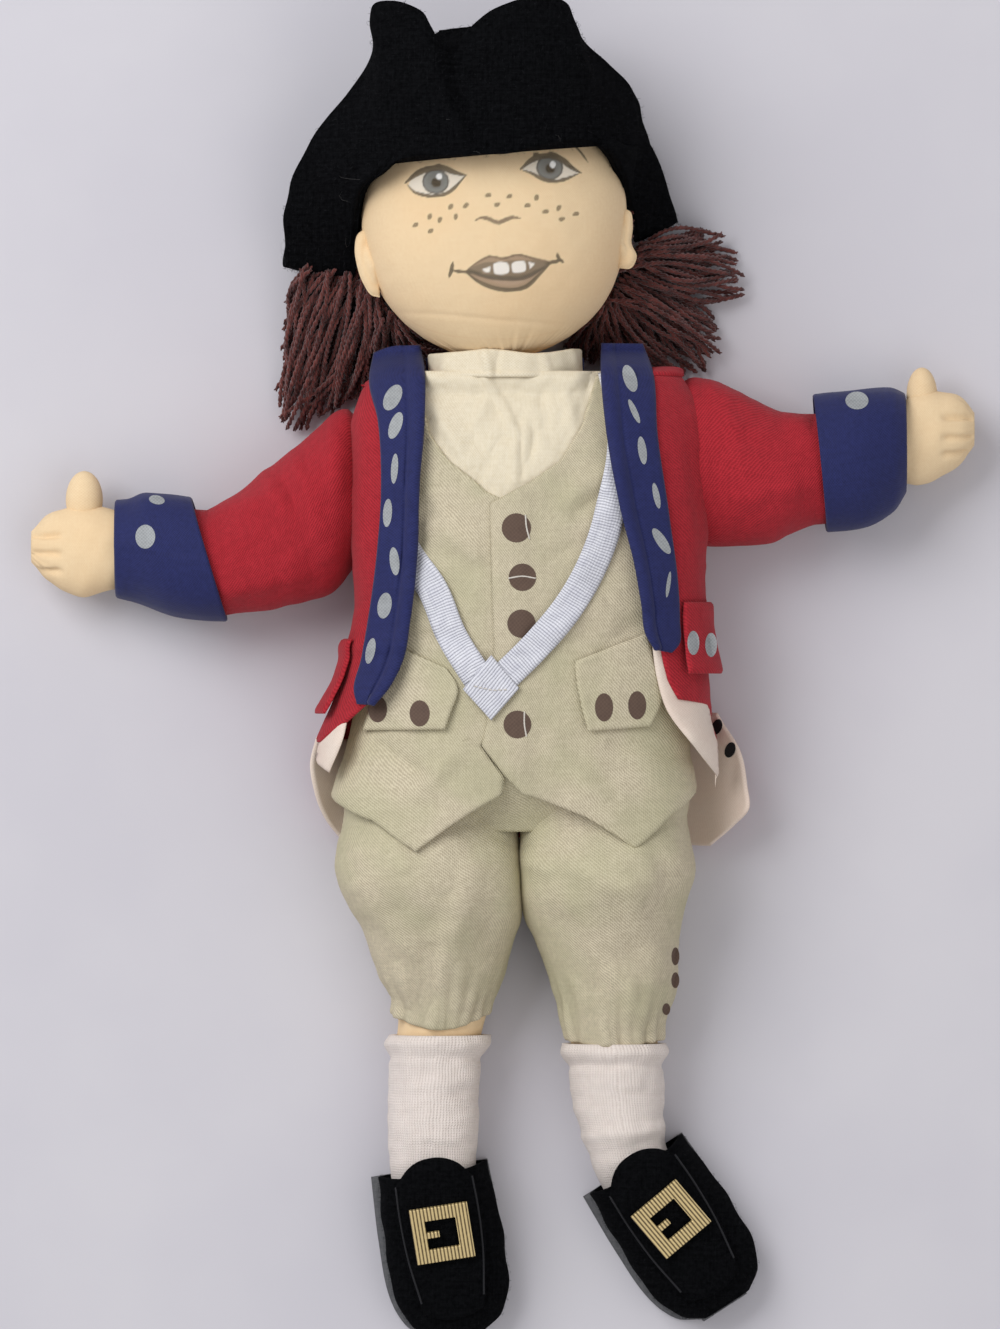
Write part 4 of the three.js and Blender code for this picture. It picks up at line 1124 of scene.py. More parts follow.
def height_over(trees: Sequence[BVHTree], x: float, y: float) -> float:
    """The highest place of some cloths at a place in plan, in metres; 0 beside them."""
    hits = [tree.ray_cast(Vector((x, y, 1.0)), Vector((0.0, 0.0, -1.0))) for tree in trees]
    return max((hit[0].z for hit in hits if hit[0] is not None), default=0.0)


SPOT_SIDES = 28
SPOT_RINGS = 4
RING_STEP = 0.19
CORD_ROUNDNESS = 2
# No corner of a spot drops further than this where it passes the edge of a cloth.
DEEPEST_DROP = 4.0


def mark(name: str, centre: Place, half: Place, turn: float, on: Sequence[bpy.types.Object],
         lift: float) -> bpy.types.Object:
    """A thin printed spot that follows the cloth under it.

    Args:
        name: The piece's name.
        centre: Its middle in the photograph.
        half: Half its width and half its height, in pixels.
        turn: Its lean in degrees.
        on: The cloths that it may lie on.
        lift: How far its face stands off the cloth.

    Returns:
        The spot.
    """
    bpy.ops.object.select_all(action="DESELECT")
    x, y = seen(centre)
    bpy.ops.mesh.primitive_circle_add(
        vertices=SPOT_SIDES, radius=METRE, fill_type="NGON",
        location=((x + SHIFT[0]) * METRE, (y + SHIFT[1]) * METRE, 0.0),
        rotation=(0.0, 0.0, math.radians(turn)),
    )
    spot = bpy.context.object
    spot.name = spot.data.name = name
    bpy.ops.object.mode_set(mode="EDIT")
    bpy.ops.mesh.select_all(action="SELECT")
    for _ in range(SPOT_RINGS):
        bpy.ops.mesh.inset(thickness=METRE * RING_STEP)
    bpy.ops.mesh.poke()
    bpy.ops.object.mode_set(mode="OBJECT")
    spot.scale = (half[0] * PIXEL, half[1] * PIXEL, 1.0)
    bpy.ops.object.transform_apply(location=True, rotation=True, scale=True)
    drape(spot, on, lift)
    bpy.ops.object.shade_smooth()
    return spot


def drape(piece: bpy.types.Object, on: Sequence[bpy.types.Object], lift: float) -> None:
    """Drop a flat mesh on cloths below it, and lift it a little.

    Args:
        piece: The flat mesh.
        on: The cloths.
        lift: Millimetres above them.
    """
    trees = [surface_tree(cloth) for cloth in on]
    found = [height_over(trees, corner.co.x, corner.co.y) for corner in piece.data.vertices]
    lowest = max(found) - DEEPEST_DROP * METRE
    for corner, height in zip(piece.data.vertices, found):
        corner.co.z = max(height, lowest) + lift * METRE


def print_spots(name: str, spots: Sequence[Spot], on: Sequence[bpy.types.Object], paint: Finish,
                body: str, lift: float = 0.12) -> None:
    """Print numbered spots on cloths.

    Args:
        name: How their names start.
        spots: The middle, the half sizes and the lean of each.
        on: The cloths that they may lie on.
        paint: What they are printed with.
        body: The body they move with.
        lift: How far their faces stand off the cloth.
    """
    for number, (centre, half, lean) in enumerate(spots, 1):
        finished(mark(f"{name}_{number}", centre, half, lean, on, lift), paint, body)


def thread_line(name: str, places: Sequence[Place], on: Sequence[bpy.types.Object],
                radius: float = 0.28) -> bpy.types.Object:
    """A short thread stitched on cloth, seen as a fine line.

    Args:
        name: The piece's name.
        places: Its run in the photograph.
        on: The cloths under it.
        radius: Half its thickness.

    Returns:
        The thread.
    """
    line = curve(all_seen(places), max(len(places) * 6, 10))
    return tube(name, line, radius, on, 0.2)


def tube(name: str, line: Array, radius: float, on: Sequence[bpy.types.Object],
         lift: float) -> bpy.types.Object:
    """A thin round cord laid on cloths.

    Args:
        name: The piece's name.
        line: Its run in plan, as rows that start with X and Y.
        radius: Half its thickness.
        on: The cloths under it.
        lift: Height of its middle above them.

    Returns:
        The cord.
    """
    made = bpy.data.curves.new(name, "CURVE")
    made.dimensions = "3D"
    made.bevel_depth = radius * METRE
    made.bevel_resolution = CORD_ROUNDNESS
    made.use_fill_caps = True
    spline = made.splines.new("POLY")
    spline.points.add(len(line) - 1)
    trees = [surface_tree(cloth) for cloth in on]
    for corner, (x, y) in zip(spline.points, (line[:, :2] + SHIFT[:2]) * METRE):
        corner.co = (x, y, height_over(trees, x, y) + lift * METRE, 1.0)
    piece = bpy.data.objects.new(name, made)
    bpy.context.scene.collection.objects.link(piece)
    select_only(piece)
    bpy.ops.object.convert(target="MESH")
    bpy.ops.object.shade_smooth()
    return bpy.context.object


@dataclass
class TorsoBody:
    """The stuffed body, its neck and the shirt over them."""

    body: str = "torso_body"
    low: float = -46.6
    top: float = SHOULDER_LINE
    rings: int = 90
    sides: int = 120
    band_low: float = 100.2
    band_top: float = 109.2

    def build(self) -> None:
        """Make and dress every piece."""
        self._stuffing()
        self._neckband()
        self._shirt()

    def _stuffing(self) -> None:
        """The muslin torso and the neck."""
        y = np.linspace(self.low, self.top, self.rings)[:, None]
        angle = turns(self.sides)
        ends = smooth(np.minimum(y - self.low, self.top - y) / 7)
        offset = -4 * (1 - ends) - 0.3 + 0.25 * ripple(y, angle * 40, 22, 11)
        torso = stuffed("torso_stuffing", TORSO_FORM.point(y, angle, offset, TORSO_FLOOR))
        finished(torso, MUSLIN_PLAIN, self.body, "torso")
        y = np.linspace(101.9, 105.9, 8)[:, None]
        neck = stuffed("neck_stuffing", NECK_FORM.point(y, angle, 0.0, 0.0))
        finished(neck, MUSLIN_PLAIN, self.body, "neck")

    def _neckband(self) -> None:
        """The standing band of the shirt round the neck."""
        y = np.linspace(self.band_low, self.band_top, 22)[:, None]
        angle = turns(260)
        x = NECK_FORM.point(y, angle, 0.0, 0.0)[..., 0]
        creases = (
            Fold((484, 352), (492, 380), 1.2, 0.9), Fold((500, 350), (494, 382), 1.3, -0.6),
            Fold((540, 352), (546, 380), 1.6, 0.6), Fold((452, 352), (446, 380), 1.8, 0.5),
            Fold((566, 352), (574, 380), 1.4, 0.7),
        )
        offset = CLOTH_GAP + 0.3 + 0.35 * ripple(x, y * 0.4, 12, 21) + folded(creases, x, y)
        offset = np.maximum(offset, 0.2) + 0.9 * smooth((102.5 - y) / 2)
        grid = NECK_FORM.point(y, angle, offset, 0.0)
        grid[..., 1] += 0.7 * ripple(grid[..., 0], 0 * y, 24, 22) * smooth((y - 104) / 4)
        band = shell("shirt_band", grid, hemmed(grid, MUSLIN, 0.4, True), wrapped=True)
        sewn(band, SHIRT_COTTON, self.body, "gathered", ["neck_stuffing"], "shirt_neckband")
        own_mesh(band)

    def _shirt(self) -> None:
        """The shirt's front with the soft creases under its placket."""
        creases = (
            Fold((484, 366), (502, 412), 1.1, 1.2), Fold((500, 398), (517, 440), 1.2, 1.3),
            Fold((516, 428), (514, 486), 1.3, 1.2), Fold((526, 420), (526, 484), 1.2, 0.9),
            Fold((476, 486), (506, 436), 1.5, -1.1), Fold((522, 480), (536, 430), 1.4, -0.9),
            Fold((432, 396), (472, 470), 2.2, 0.9), Fold((450, 386), (490, 470), 1.8, -0.7),
            Fold((588, 376), (600, 406), 1.8, 1.4), Fold((560, 380), (574, 440), 2.2, 0.9),
            Fold((540, 384), (548, 450), 1.8, -0.7), Fold((496, 384), (470, 440), 1.7, 0.8),
            Fold((424, 380), (432, 420), 1.8, 1.0),
        )

        def lift(x: Array, y: Array) -> Array:
            """Creases of the shirt over the wrinkles of the torso."""
            made = torso_lift(x, y) + np.clip(folded(creases, x, y), -0.7, 1.5) * 0.75
            collar = 5.2 * smooth((y - 93) / 8) * smooth((31 - np.abs(x - 1)) / 9)
            return made + 0.2 * ripple(x, y, 6, 23) + collar

        shirt = Panel(
            "shirt_front_cloth", steady(-34), steady(37), steady(50), steady(102.4), SHIRT_LAYER, MUSLIN,
            spacing=0.55, lift=lift,
        ).build()
        sewn(shirt, SHIRT_COTTON, self.body, "laid", ["torso_stuffing"], "shirt_front")


def back_edges(seam: float) -> tuple[AtAngle, AtAngle]:
    """The side edges of a back, which starts where the fronts end at their seams."""
    start = seam + 0.6
    return AtAngle(start), AtAngle(360 - start)


@dataclass
class Waistcoat:
    """The khaki waistcoat: two fronts that lap, a back, pocket flaps and printed buttons."""

    body: str = "torso_body"
    seam: float = 95.0
    lap: float = 9.0
    lap_rise: float = 1.0
    buttons: Sequence[Spot] = (
        ((516, 529), (14.5, 14.5), 0), ((522, 578), (13.6, 13.6), 0), ((521, 624), (14.0, 14.0), 0),
        ((517, 724), (13.8, 13.8), 0),
    )
    flap_buttons: Sequence[Spot] = (
        ((378, 709), (9.5, 13), 0), ((420, 713), (10, 13), 0), ((603, 707), (9, 14), 0),
        ((636, 705), (9, 14), 0),
    )
    closing: Sequence[Place] = (
        (-46, 8), (-39, 1.4), (-28, -7), (-19, -5), (6, -2.5), (56, -4.2),
        (60, 3), (64, 10), (71, 20), (83, 27.5), (SHOULDER_LINE, 33),
    )
    right_edge: Sequence[Place] = (
        (-65, -8), (-46, 0), (-39, 0.8), (-28, -7.5), (-19, -5.5), (6, -3), (56, -4.7),
        (60, -5.5), (64, -9.5), (71, -18.5), (80, -25), (88, -27), (SHOULDER_LINE, -30),
    )

    def build(self) -> list[bpy.types.Object]:
        """Make and dress every piece.

        Returns:
            The cloths that spots and belts may lie on.
        """
        fronts = [self._front_right(), self._front_left()]
        self._back()
        flaps = self._flaps()
        self._printed_buttons(fronts + flaps)
        return fronts + flaps

    def _front_right(self) -> bpy.types.Object:
        """The under front; its edge runs on below the other front."""
        under = [(y, x + (self.lap if -20 < y < 57 else 0.0)) for y, x in self.right_edge]

        def lift(x: Array, y: Array) -> Array:
            """Pressed down where the other front laps over it."""
            lapped = smooth((x + 9) / 5) * smooth((y + 22) / 6)
            return torso_lift(x, y) - 0.55 * lapped

        front = Panel(
            "waistcoat_front_right", AtAngle(-self.seam), table(under),
            table([(0, -45), (0.25, -49), (0.5, -54), (0.75, -65), (1, -45)]),
            table([(0, 66), (0.2, 90), (0.4, SHOULDER_LINE), (1, SHOULDER_LINE)]),
            WAISTCOAT_LAYER, TWILL, floor=WAISTCOAT_FLOOR, spacing=0.98,
            flare=hem_flare, lift=lift,
        ).build()
        return self._hemmed(front, "waistcoat_right")

    def _front_left(self) -> bpy.types.Object:
        """The upper front, raised along its edge by the cloth below."""

        def lift(x: Array, y: Array) -> Array:
            """Raised over the lap, with a seam line one finger in from the edge."""
            raised = 1 - smooth((x - 6) / 6)
            seam_line = bell(x - (14 + 0.02 * y), 0.8) * smooth((56 - y) / 4)
            return torso_lift(x, y) + self.lap_rise * raised - 0.18 * seam_line

        front = Panel(
            "waistcoat_front_left", table(self.closing), AtAngle(self.seam),
            table([(0, -45), (0.2, -53), (0.4, -64), (0.6, -52), (0.8, -46), (1, -41)]),
            table([(0, SHOULDER_LINE), (0.6, SHOULDER_LINE), (0.8, 90), (1, 66)]),
            WAISTCOAT_LAYER, TWILL, floor=WAISTCOAT_FLOOR, spacing=0.98,
            flare=hem_flare, lift=lift,
        ).build()
        return self._hemmed(front, "waistcoat_left")

    def _hemmed(self, front: bpy.types.Object, node: str) -> bpy.types.Object:
        """Dress a front."""
        return bending(front, KHAKI, node)

    def _back(self) -> None:
        """The back, pressed flat between the body and the coat."""
        back = Panel(
            "waistcoat_back_cloth", *back_edges(self.seam), steady(-45),
            steady(SHOULDER_LINE), WAISTCOAT_LAYER, TWILL, floor=WAISTCOAT_FLOOR, spacing=1.6,
            flare=hem_flare,
        ).build()
        sewn(back, KHAKI, self.body, "laid", ["torso_stuffing"], "waistcoat_back")

    def _flaps(self) -> list[bpy.types.Object]:
        """The two pocket flaps with their turned edges."""

        def swell(u: Array, v: Array) -> Array:
            """Turned edges stand a little, the seam at the top is sewn down."""
            edge = np.minimum(np.minimum(u, 1 - u), v)
            return 0.5 * bell(edge, 0.07) + 0.9 * smooth(v * 1.4) - 0.3

        edges = {
            "right": ([(397, 646), (384, 668), (372, 700), (363, 730)],
                      [(447, 668), (458, 688), (451, 712), (445, 729)]),
            "left": ([(574, 661), (575, 676), (580, 704), (587, 731)],
                     [(646, 633), (652, 660), (663, 690), (650, 726)]),
        }
        made = []
        for side, (first, second) in edges.items():
            flap = Patch(f"pocket_flap_{side}", first, second, OVER_WAISTCOAT, TWILL, curved=True,
                         swell=swell, flare=hem_flare).build()
            node = f"waistcoat_pocket_{side}"
            made.append(sewn(flap, KHAKI, self.body, "laid", ["waistcoat_front_right"], node))
        return made

    def _printed_buttons(self, cloths: Sequence[bpy.types.Object]) -> None:
        """Brown spots printed as buttons, three of them with the thread that crosses them."""
        print_spots("button_spot", self.buttons, cloths, BUTTON_PAINT, self.body)
        print_spots("flap_spot", self.flap_buttons, cloths, BUTTON_PAINT, self.body)
        runs = (
            [(525, 516), (526, 528), (529, 540)], [(508, 579), (522, 577), (535, 579)],
            [(524, 711), (524, 724), (526, 736)],
        )
        for number, run in enumerate(runs, 1):
            finished(thread_line(f"button_thread_{number}", run, cloths), THREAD_WHITE, self.body)


@dataclass
class Belt:
    """The white ribbed ribbon that comes down from both shoulders to a stitched square."""

    body: str = "torso_body"
    half: float = 5.25
    spacing: float = 0.7
    right_run: Sequence[Place] = (
        (400, 372), (394, 420), (392, 480), (404, 546), (434, 592), (452, 636), (478, 678),
    )
    left_run: Sequence[Place] = (
        (612, 372), (620, 410), (621, 452), (612, 500), (597, 552), (571, 602), (538, 643), (503, 678),
    )
    corners: Sequence[Place] = ((491, 655), (463, 689), (491, 720), (519, 688))

    def build(self) -> None:
        """Make and dress every piece."""
        for name, run, turn in (("right", self.right_run, 6), ("left", self.left_run, 8)):
            strap = self._strap(f"belt_strap_{name}", run, turn)
            sewn(strap, RIBBON_WHITE, self.body, "laid", [f"waistcoat_front_{name}"], f"belt_{name}")
        self._join()

    def _strap(self, name: str, run: Sequence[Place], seed: int) -> bpy.types.Object:
        """A strip of ribbon with its middle along a run."""
        line = all_seen(run)
        length = np.linalg.norm(np.diff(line, axis=0), axis=1).sum()
        rows = int(length / self.spacing)
        line = curve(line, rows)
        ahead = np.gradient(line, axis=0)
        ahead /= np.linalg.norm(ahead, axis=1, keepdims=True)
        beside = np.column_stack([-ahead[:, 1], ahead[:, 0]])
        share = np.linspace(1, -1, 9)
        places = line[:, None] + beside[:, None] * (share * self.half)[None, :, None]
        along = np.linspace(0, length, rows)
        curl = 0.5 * ripple(along, along * 0, 34, seed)[:, None] * share[None, :]
        hover = 0.35 * (1 + ripple(along, along * 0, 40, seed + 1))[:, None]
        grid = on_torso(places, OVER_WAISTCOAT + 0.25, curl + hover)
        return shell(name, grid, hemmed(grid, RIBBON, 0.5, run=1.0))

    def _join(self) -> None:
        """The square that covers the two ends, with its row of stitches."""
        top, right, low, left = self.corners
        square = Patch("belt_square", [top, left], [right, low], JOIN_LAYER, RIBBON, spacing=0.7,
                       straight=False, swell=lambda u, v: 0.9 - 0.5 * np.hypot(u - 0.5, v - 0.5)).build()
        join = sewn(square, RIBBON_WHITE, self.body, "laid", ["belt_strap_left"], "belt_join")
        stitches = 7
        stitch_line = spread(np.array([(474, 686), (491, 690), (508, 689)]), 50)
        for number in range(stitches):
            start = stitch_line[int(number / stitches * 49)]
            thread = thread_line(f"belt_stitch_{number + 1}", [start, start + (3.2, 0.4)], [join], 0.2)
            finished(thread, THREAD_WHITE, self.body)


@dataclass
class Coat:
    """The red coat: fronts, back, navy facings and collar, pocket flaps, tails and turnbacks."""

    body: str = "torso_body"
    seam: float = 99.0
    ovals_right: Sequence[Spot] = (
        ((393, 399), (8, 14), -28), ((396, 427), (6, 14), -20), ((395, 470), (3.5, 15), -4),
        ((388, 514), (4.5, 14), -4), ((395, 562), (4.8, 14), 6), ((385, 606), (7, 13), -10),
        ((371, 651), (4.6, 13), -12),
    )
    ovals_left: Sequence[Spot] = (
        ((629, 380), (6.5, 14), 18), ((633, 413), (3, 13), 24), ((641, 452), (4.2, 14), 8),
        ((655, 497), (3.2, 13), 12), ((660, 542), (5, 15), 34), ((667, 585), (2, 13), -8),
    )

    flap_ovals: Sequence[Spot] = (((692, 643), (6, 12), 0), ((710, 645), (6, 12), 0))

    def build(self) -> None:
        """Make and dress every piece."""
        self._fronts()
        self._back()
        self._lining()
        facings = self._facings()
        self._ovals(facings)
        self._collar()
        self._shoulders()
        self._pockets()

    def _fronts(self) -> None:
        """The two open fronts of the coat."""
        right = Panel(
            "coat_front_right", AtAngle(-self.seam), table([(-27, -55), (-13, -43), (63, -31.5)]),
            steady(-27), steady(SHOULDER_LINE), COAT_LAYER, COAT, spacing=0.9,
            flare=skirt_flare, lift=self._lift,
        )
        left = Panel(
            "coat_front_left", table([
                (-24, 63), (-15, 59), (-5, 55.6), (7, 54), (33, 51), (54, 45), (88, 38),
                (SHOULDER_LINE, 37),
            ]), AtAngle(self.seam), table([(0, -12), (0.6, -14), (1, -19)]), steady(SHOULDER_LINE),
            COAT_LAYER, COAT, spacing=0.9, flare=skirt_flare, lift=self._lift,
        )
        under = ["waistcoat_front_right", "waistcoat_front_left"]
        for panel, node in ((right, "coat_right"), (left, "coat_left")):
            sewn(panel.build(), RED_TWILL, self.body, "hung", under, node)

    @staticmethod
    def _lift(x: Array, y: Array) -> Array:
        """Long soft folds down the fronts."""
        folds = (
            Fold((352, 400), (362, 560), 3.2, 1.0), Fold((372, 420), (366, 600), 2.6, -0.6),
            Fold((684, 380), (704, 560), 3.6, 0.9), Fold((668, 420), (690, 600), 2.4, -0.7),
            Fold((340, 585), (372, 640), 3.0, 0.8), Fold((690, 560), (724, 590), 3.0, 0.9),
        )
        return torso_lift(x, y) + folded(folds, x, y) * 0.8

    def _back(self) -> None:
        """The back, which the doll lies on."""
        back = Panel(
            "coat_back_cloth", *back_edges(self.seam), steady(-27),
            steady(SHOULDER_LINE), COAT_LAYER, COAT, spacing=1.3, flare=skirt_flare, lift=self._lift,
        ).build()
        sewn(back, RED_TWILL, self.body, "laid", ["waistcoat_back_cloth"], "coat_back")

    def _facings(self) -> list[bpy.types.Object]:
        """The navy facings, folded over along their inner edges."""

        def swell(fold_at: float, flip: bool) -> Callable[[Array, Array], Array]:
            """A rolled inner edge, a crease beside it and small puckers along the stitching."""

            def made(u: Array, v: Array) -> Array:
                """The swell at shares across and along."""
                inward = u if flip else 1 - u
                roll = 1.5 * bell(inward - fold_at * 0.5, 0.16)
                crease = -0.9 * bell(inward - fold_at, 0.05)
                pucker = 0.22 * ripple(u * 4, v * 110, 9, 31) * (0.4 + 0.6 * np.abs(u - 0.5) * 2)
                return np.maximum(roll + crease + pucker + 0.3, -0.2)

            return made

        edges = {
            "right": (
                [(374, 346), (370, 366), (379, 420), (382, 485), (378, 552), (369, 620), (362, 660),
                 (355, 692), (358, 704)],
                [(420, 346), (424, 366), (425, 420), (420, 485), (418, 552), (411, 620), (403, 662),
                 (388, 690), (374, 705)],
                swell(0.34, False),
            ),
            "left": (
                [(601, 344), (600, 366), (603, 413), (619, 510), (633, 565), (640, 605), (645, 636),
                 (654, 650)],
                [(642, 344), (650, 366), (656, 437), (668, 520), (676, 582), (678, 620), (677, 645),
                 (670, 653)],
                swell(0.3, True),
            ),
        }
        fronts = ["coat_front_right", "coat_front_left"]
        made = []
        for side, (first, second, rolled) in edges.items():
            facing = Patch(f"facing_{side}", first, second, LAPEL_LAYER, LAPEL, curved=True,
                           swell=rolled, flare=skirt_flare, spacing=0.7).build()
            made.append(sewn(facing, NAVY, self.body, "folded", fronts, f"lapel_{side}"))
        return made

    def _lining(self) -> None:
        """The pale lining that shows past the front edges of the skirts."""
        strips = (
            ("left", [(650, 640), (655, 676), (664, 707), (694, 748), (726, 788)],
             [(664, 640), (676, 676), (706, 700), (724, 722), (742, 762)]),
            ("right", [(356, 696), (350, 712), (344, 738), (330, 772)],
             [(344, 690), (334, 706), (318, 730), (308, 756)]),
        )
        for side, first, second in strips:
            strip = Patch(f"lining_strip_{side}", first, second, OVER_WAISTCOAT, COAT, curved=True,
                          flare=skirt_flare, spacing=0.8).build()
            sewn(strip, LINING, self.body, "folded", [f"waistcoat_front_{side}"])

    def _ovals(self, facings: Sequence[bpy.types.Object]) -> None:
        """Silver buttonholes printed down both facings."""
        for side, rows in (("right", self.ovals_right), ("left", self.ovals_left)):
            print_spots(f"facing_{side}_oval", rows, facings, SILVER_PAINT, self.body)

    def _shoulders(self) -> None:
        """Cloth over both shoulders, from the fronts to the back."""
        layer, line, rows, cols = COAT_LAYER + COAT * 0.4, 100.6, 34, 50
        for side, span in (("right", (-30, -self.seam)), ("left", (31, self.seam))):
            angle = np.radians(np.linspace(*span, cols))[None, :]
            behind = math.copysign(math.pi, span[0]) - angle
            share = np.linspace(0, 1, rows)[:, None]
            front = TORSO_FORM.point(line, angle, layer, 0.0)
            back = TORSO_FORM.point(line, behind, layer, WAISTCOAT_FLOOR)
            grid = front * (1 - share[..., None]) + back * share[..., None]
            ends = np.sin(np.linspace(0.02, 0.98, cols) * math.pi)[None, :] ** 0.5
            grid[..., 1] += 2.6 * ends * np.sin(share * math.pi) ** 0.6
            cap = shell(f"coat_shoulder_{side}", grid, hemmed(grid, COAT, 0.5))
            sewn(cap, RED_TWILL, self.body, "stretched", [f"coat_front_{side}"])

    def _collar(self) -> None:
        """The narrow navy collar behind the neck."""
        y = np.linspace(102.6, 107.6, 9)[:, None]
        angle = np.radians(np.linspace(self.seam, 360 - self.seam, 90))[None, :]
        offset = CLOTH_GAP + MUSLIN + CLOTH_GAP + 0.15 + 0.15 * ripple(angle * 30, y, 14, 8)
        grid = NECK_FORM.point(y, angle, offset, 0.0)
        collar = shell("collar", grid, hemmed(grid, LAPEL, 0.4))
        sewn(collar, NAVY, self.body, "folded", ["shirt_band"], "coat_collar")

    def _pockets(self) -> None:
        """The red flaps at the coat's sides and the silver spots on the left one."""

        def lift(x: Array, y: Array) -> Array:
            """Raised turned edges."""
            return self._lift(x, y) + 0.3

        sides = (("right", -104, -72, -17, 9), ("left", 55, 98, -3, 22))
        for side, first, last, low, high in sides:

            def flare(y: Array, angle: Array, low: float = low, high: float = high) -> Array:
                """The flap hangs away from the coat."""
                return skirt_flare(y, angle) + flare_below(y, angle, high, low, 3)

            flap = Panel(
                f"coat_flap_{side}", AtAngle(first), AtAngle(last), steady(low), steady(high),
                LAPEL_LAYER, COAT, spacing=0.8, lift=lift, flare=flare,
            ).build()
            sewn(flap, RED_TWILL, self.body, "hung", [f"coat_front_{side}"], f"coat_pocket_{side}")
            if side == "left":
                print_spots("flap_oval", self.flap_ovals, [flap], SILVER_PAINT, self.body)


@dataclass
class CoatTail:
    """A coat tail under the thigh, curled up beside it, with its edge turned back."""

    side: str
    outer: Sequence[Place]
    curl_start: float
    rise: float
    seed: int
    inner: Sequence[Place] = ((514, 744), (514, 836))
    dots: Sequence[Spot] = ()
    body: str = "torso_body"

    def point(self, share: Array, v: Array, height: Array | float) -> Array:
        """Points of the tail.

        Args:
            share: From the inner edge to the outer one.
            v: From the low edge to the upper one.
            height: Distance above its lower face.

        Returns:
            Points in the last axis.
        """
        count = len(v)
        height = height * np.ones_like(share)
        outer = curve(all_seen(self.outer), count)[::-1][:, None]
        inner = spread(all_seen(self.inner), count)[::-1][:, None]
        plan = inner * (1 - share[..., None]) + outer * share[..., None]
        x, y = plan[..., 0], plan[..., 1]
        reach = np.abs(outer[..., 0]).max()
        curl = np.clip((np.abs(x) - self.curl_start) / (reach - self.curl_start), 0, 1.2)
        wave = ripple(x, y, 20, self.seed) * np.minimum(curl * 2, 1)
        lean = -np.sign(x) * np.minimum(curl, 1)
        z = self.rise * curl ** 1.6 + height * (1 - 0.4 * np.minimum(curl, 1)) + 0.6 * wave
        return np.stack([x + lean * height + 0.5 * wave, y + 0.5 * wave, np.maximum(z, height)], axis=-1)

    def build(self) -> None:
        """Make and dress the tail and its turned edge."""
        rows, cols = 60, 90
        v = np.linspace(0, 1, rows)[:, None]
        reach = abs(seen(self.outer[1])[0])
        parts = (
            (f"coat_tail_cloth_{self.side}", 0.0, 0.0, RED_TWILL, f"coat_tail_{self.side}"),
            (f"turned_edge_{self.side}", (self.curl_start - 12) / reach, COAT + CLOTH_GAP, LINING,
             f"turnback_{self.side}"),
        )
        for name, start, height, finish, node in parts:
            end = 1.0 if height else 0.975
            share = start + (end - start) * np.linspace(0, 1, cols)[None, :] * np.ones((rows, 1))
            lower = self.point(share, v, height)
            if normals(lower, False)[..., 2].mean() < 0:
                lower = lower[:, ::-1]
            cloth = shell(name, lower, hemmed(lower, COAT, 0.4))
            under = f"coat_tail_cloth_{self.side}" if height else "floor"
            sewn(cloth, finish, self.body, "folded", [under], node)
            if height:
                print_spots(f"tail_dot_{self.side}", self.dots, [cloth], BLACK_PAINT, self.body, 0.5)


INK = (0.075, 0.062, 0.045)
EYE_WHITE = (0.76, 0.69, 0.58)
IRIS = (0.16, 0.18, 0.18)
IRIS_RING = (0.06, 0.065, 0.07)
LIP = (0.36, 0.25, 0.165)
LIP_DARK = (0.20, 0.15, 0.105)
TOOTH = (0.84, 0.80, 0.74)
FAINT_LINE = (0.70, 0.36, 0.18)

# How far an edge of paint fades out, in millimetres, and the smallest step between two corners.
PAINT_EDGE = 0.3
TINY = 1e-9


def beside_run(x: Array, y: Array, start: Array, way: Array) -> tuple[Array, Array]:
    """How places lie beside a straight run.

    Args:
        x: Places across the doll.
        y: Places along the doll.
        start: Where the run starts.
        way: From its start to its end.

    Returns:
        The share of the run at which each place lies, and its distance from the run.
    """
    (ax, ay), (dx, dy) = start, way
    share = np.clip(((x - ax) * dx + (y - ay) * dy) / (dx * dx + dy * dy), 0, 1)
    return share, np.hypot(x - ax - share * dx, y - ay - share * dy)


@dataclass(frozen=True)
class Stroke:
    """An ink line painted on the face."""

    run: Sequence[Place]
    width: float
    colour: Colour = INK
    strength: float = 0.95
    taper: float = 0.35
    spread: float = 1.3

    def cover(self, x: Array, y: Array) -> Array:
        """How fully the ink covers each place.

        Args:
            x: Places across the doll.
            y: Places along the doll.

        Returns:
            Shares from 0 to 1.
        """
        line = curve(all_seen(self.run), 14) if len(self.run) > 2 else spread(all_seen(self.run), 4)
        cover = np.zeros(x.shape)
        count = len(line) - 1
        for index, (start, way) in enumerate(zip(line, np.diff(line, axis=0))):
            share, away = beside_run(x, y, start, way)
            end = np.minimum(index + share, count - index - share) / count
            full = self.taper + (1 - self.taper) * np.clip(end * 4, 0, 1)
            half = self.width * self.spread * PIXEL / 2 * full
            cover = np.maximum(cover, smooth((half - away) / PAINT_EDGE + 0.5))
        return cover * self.strength


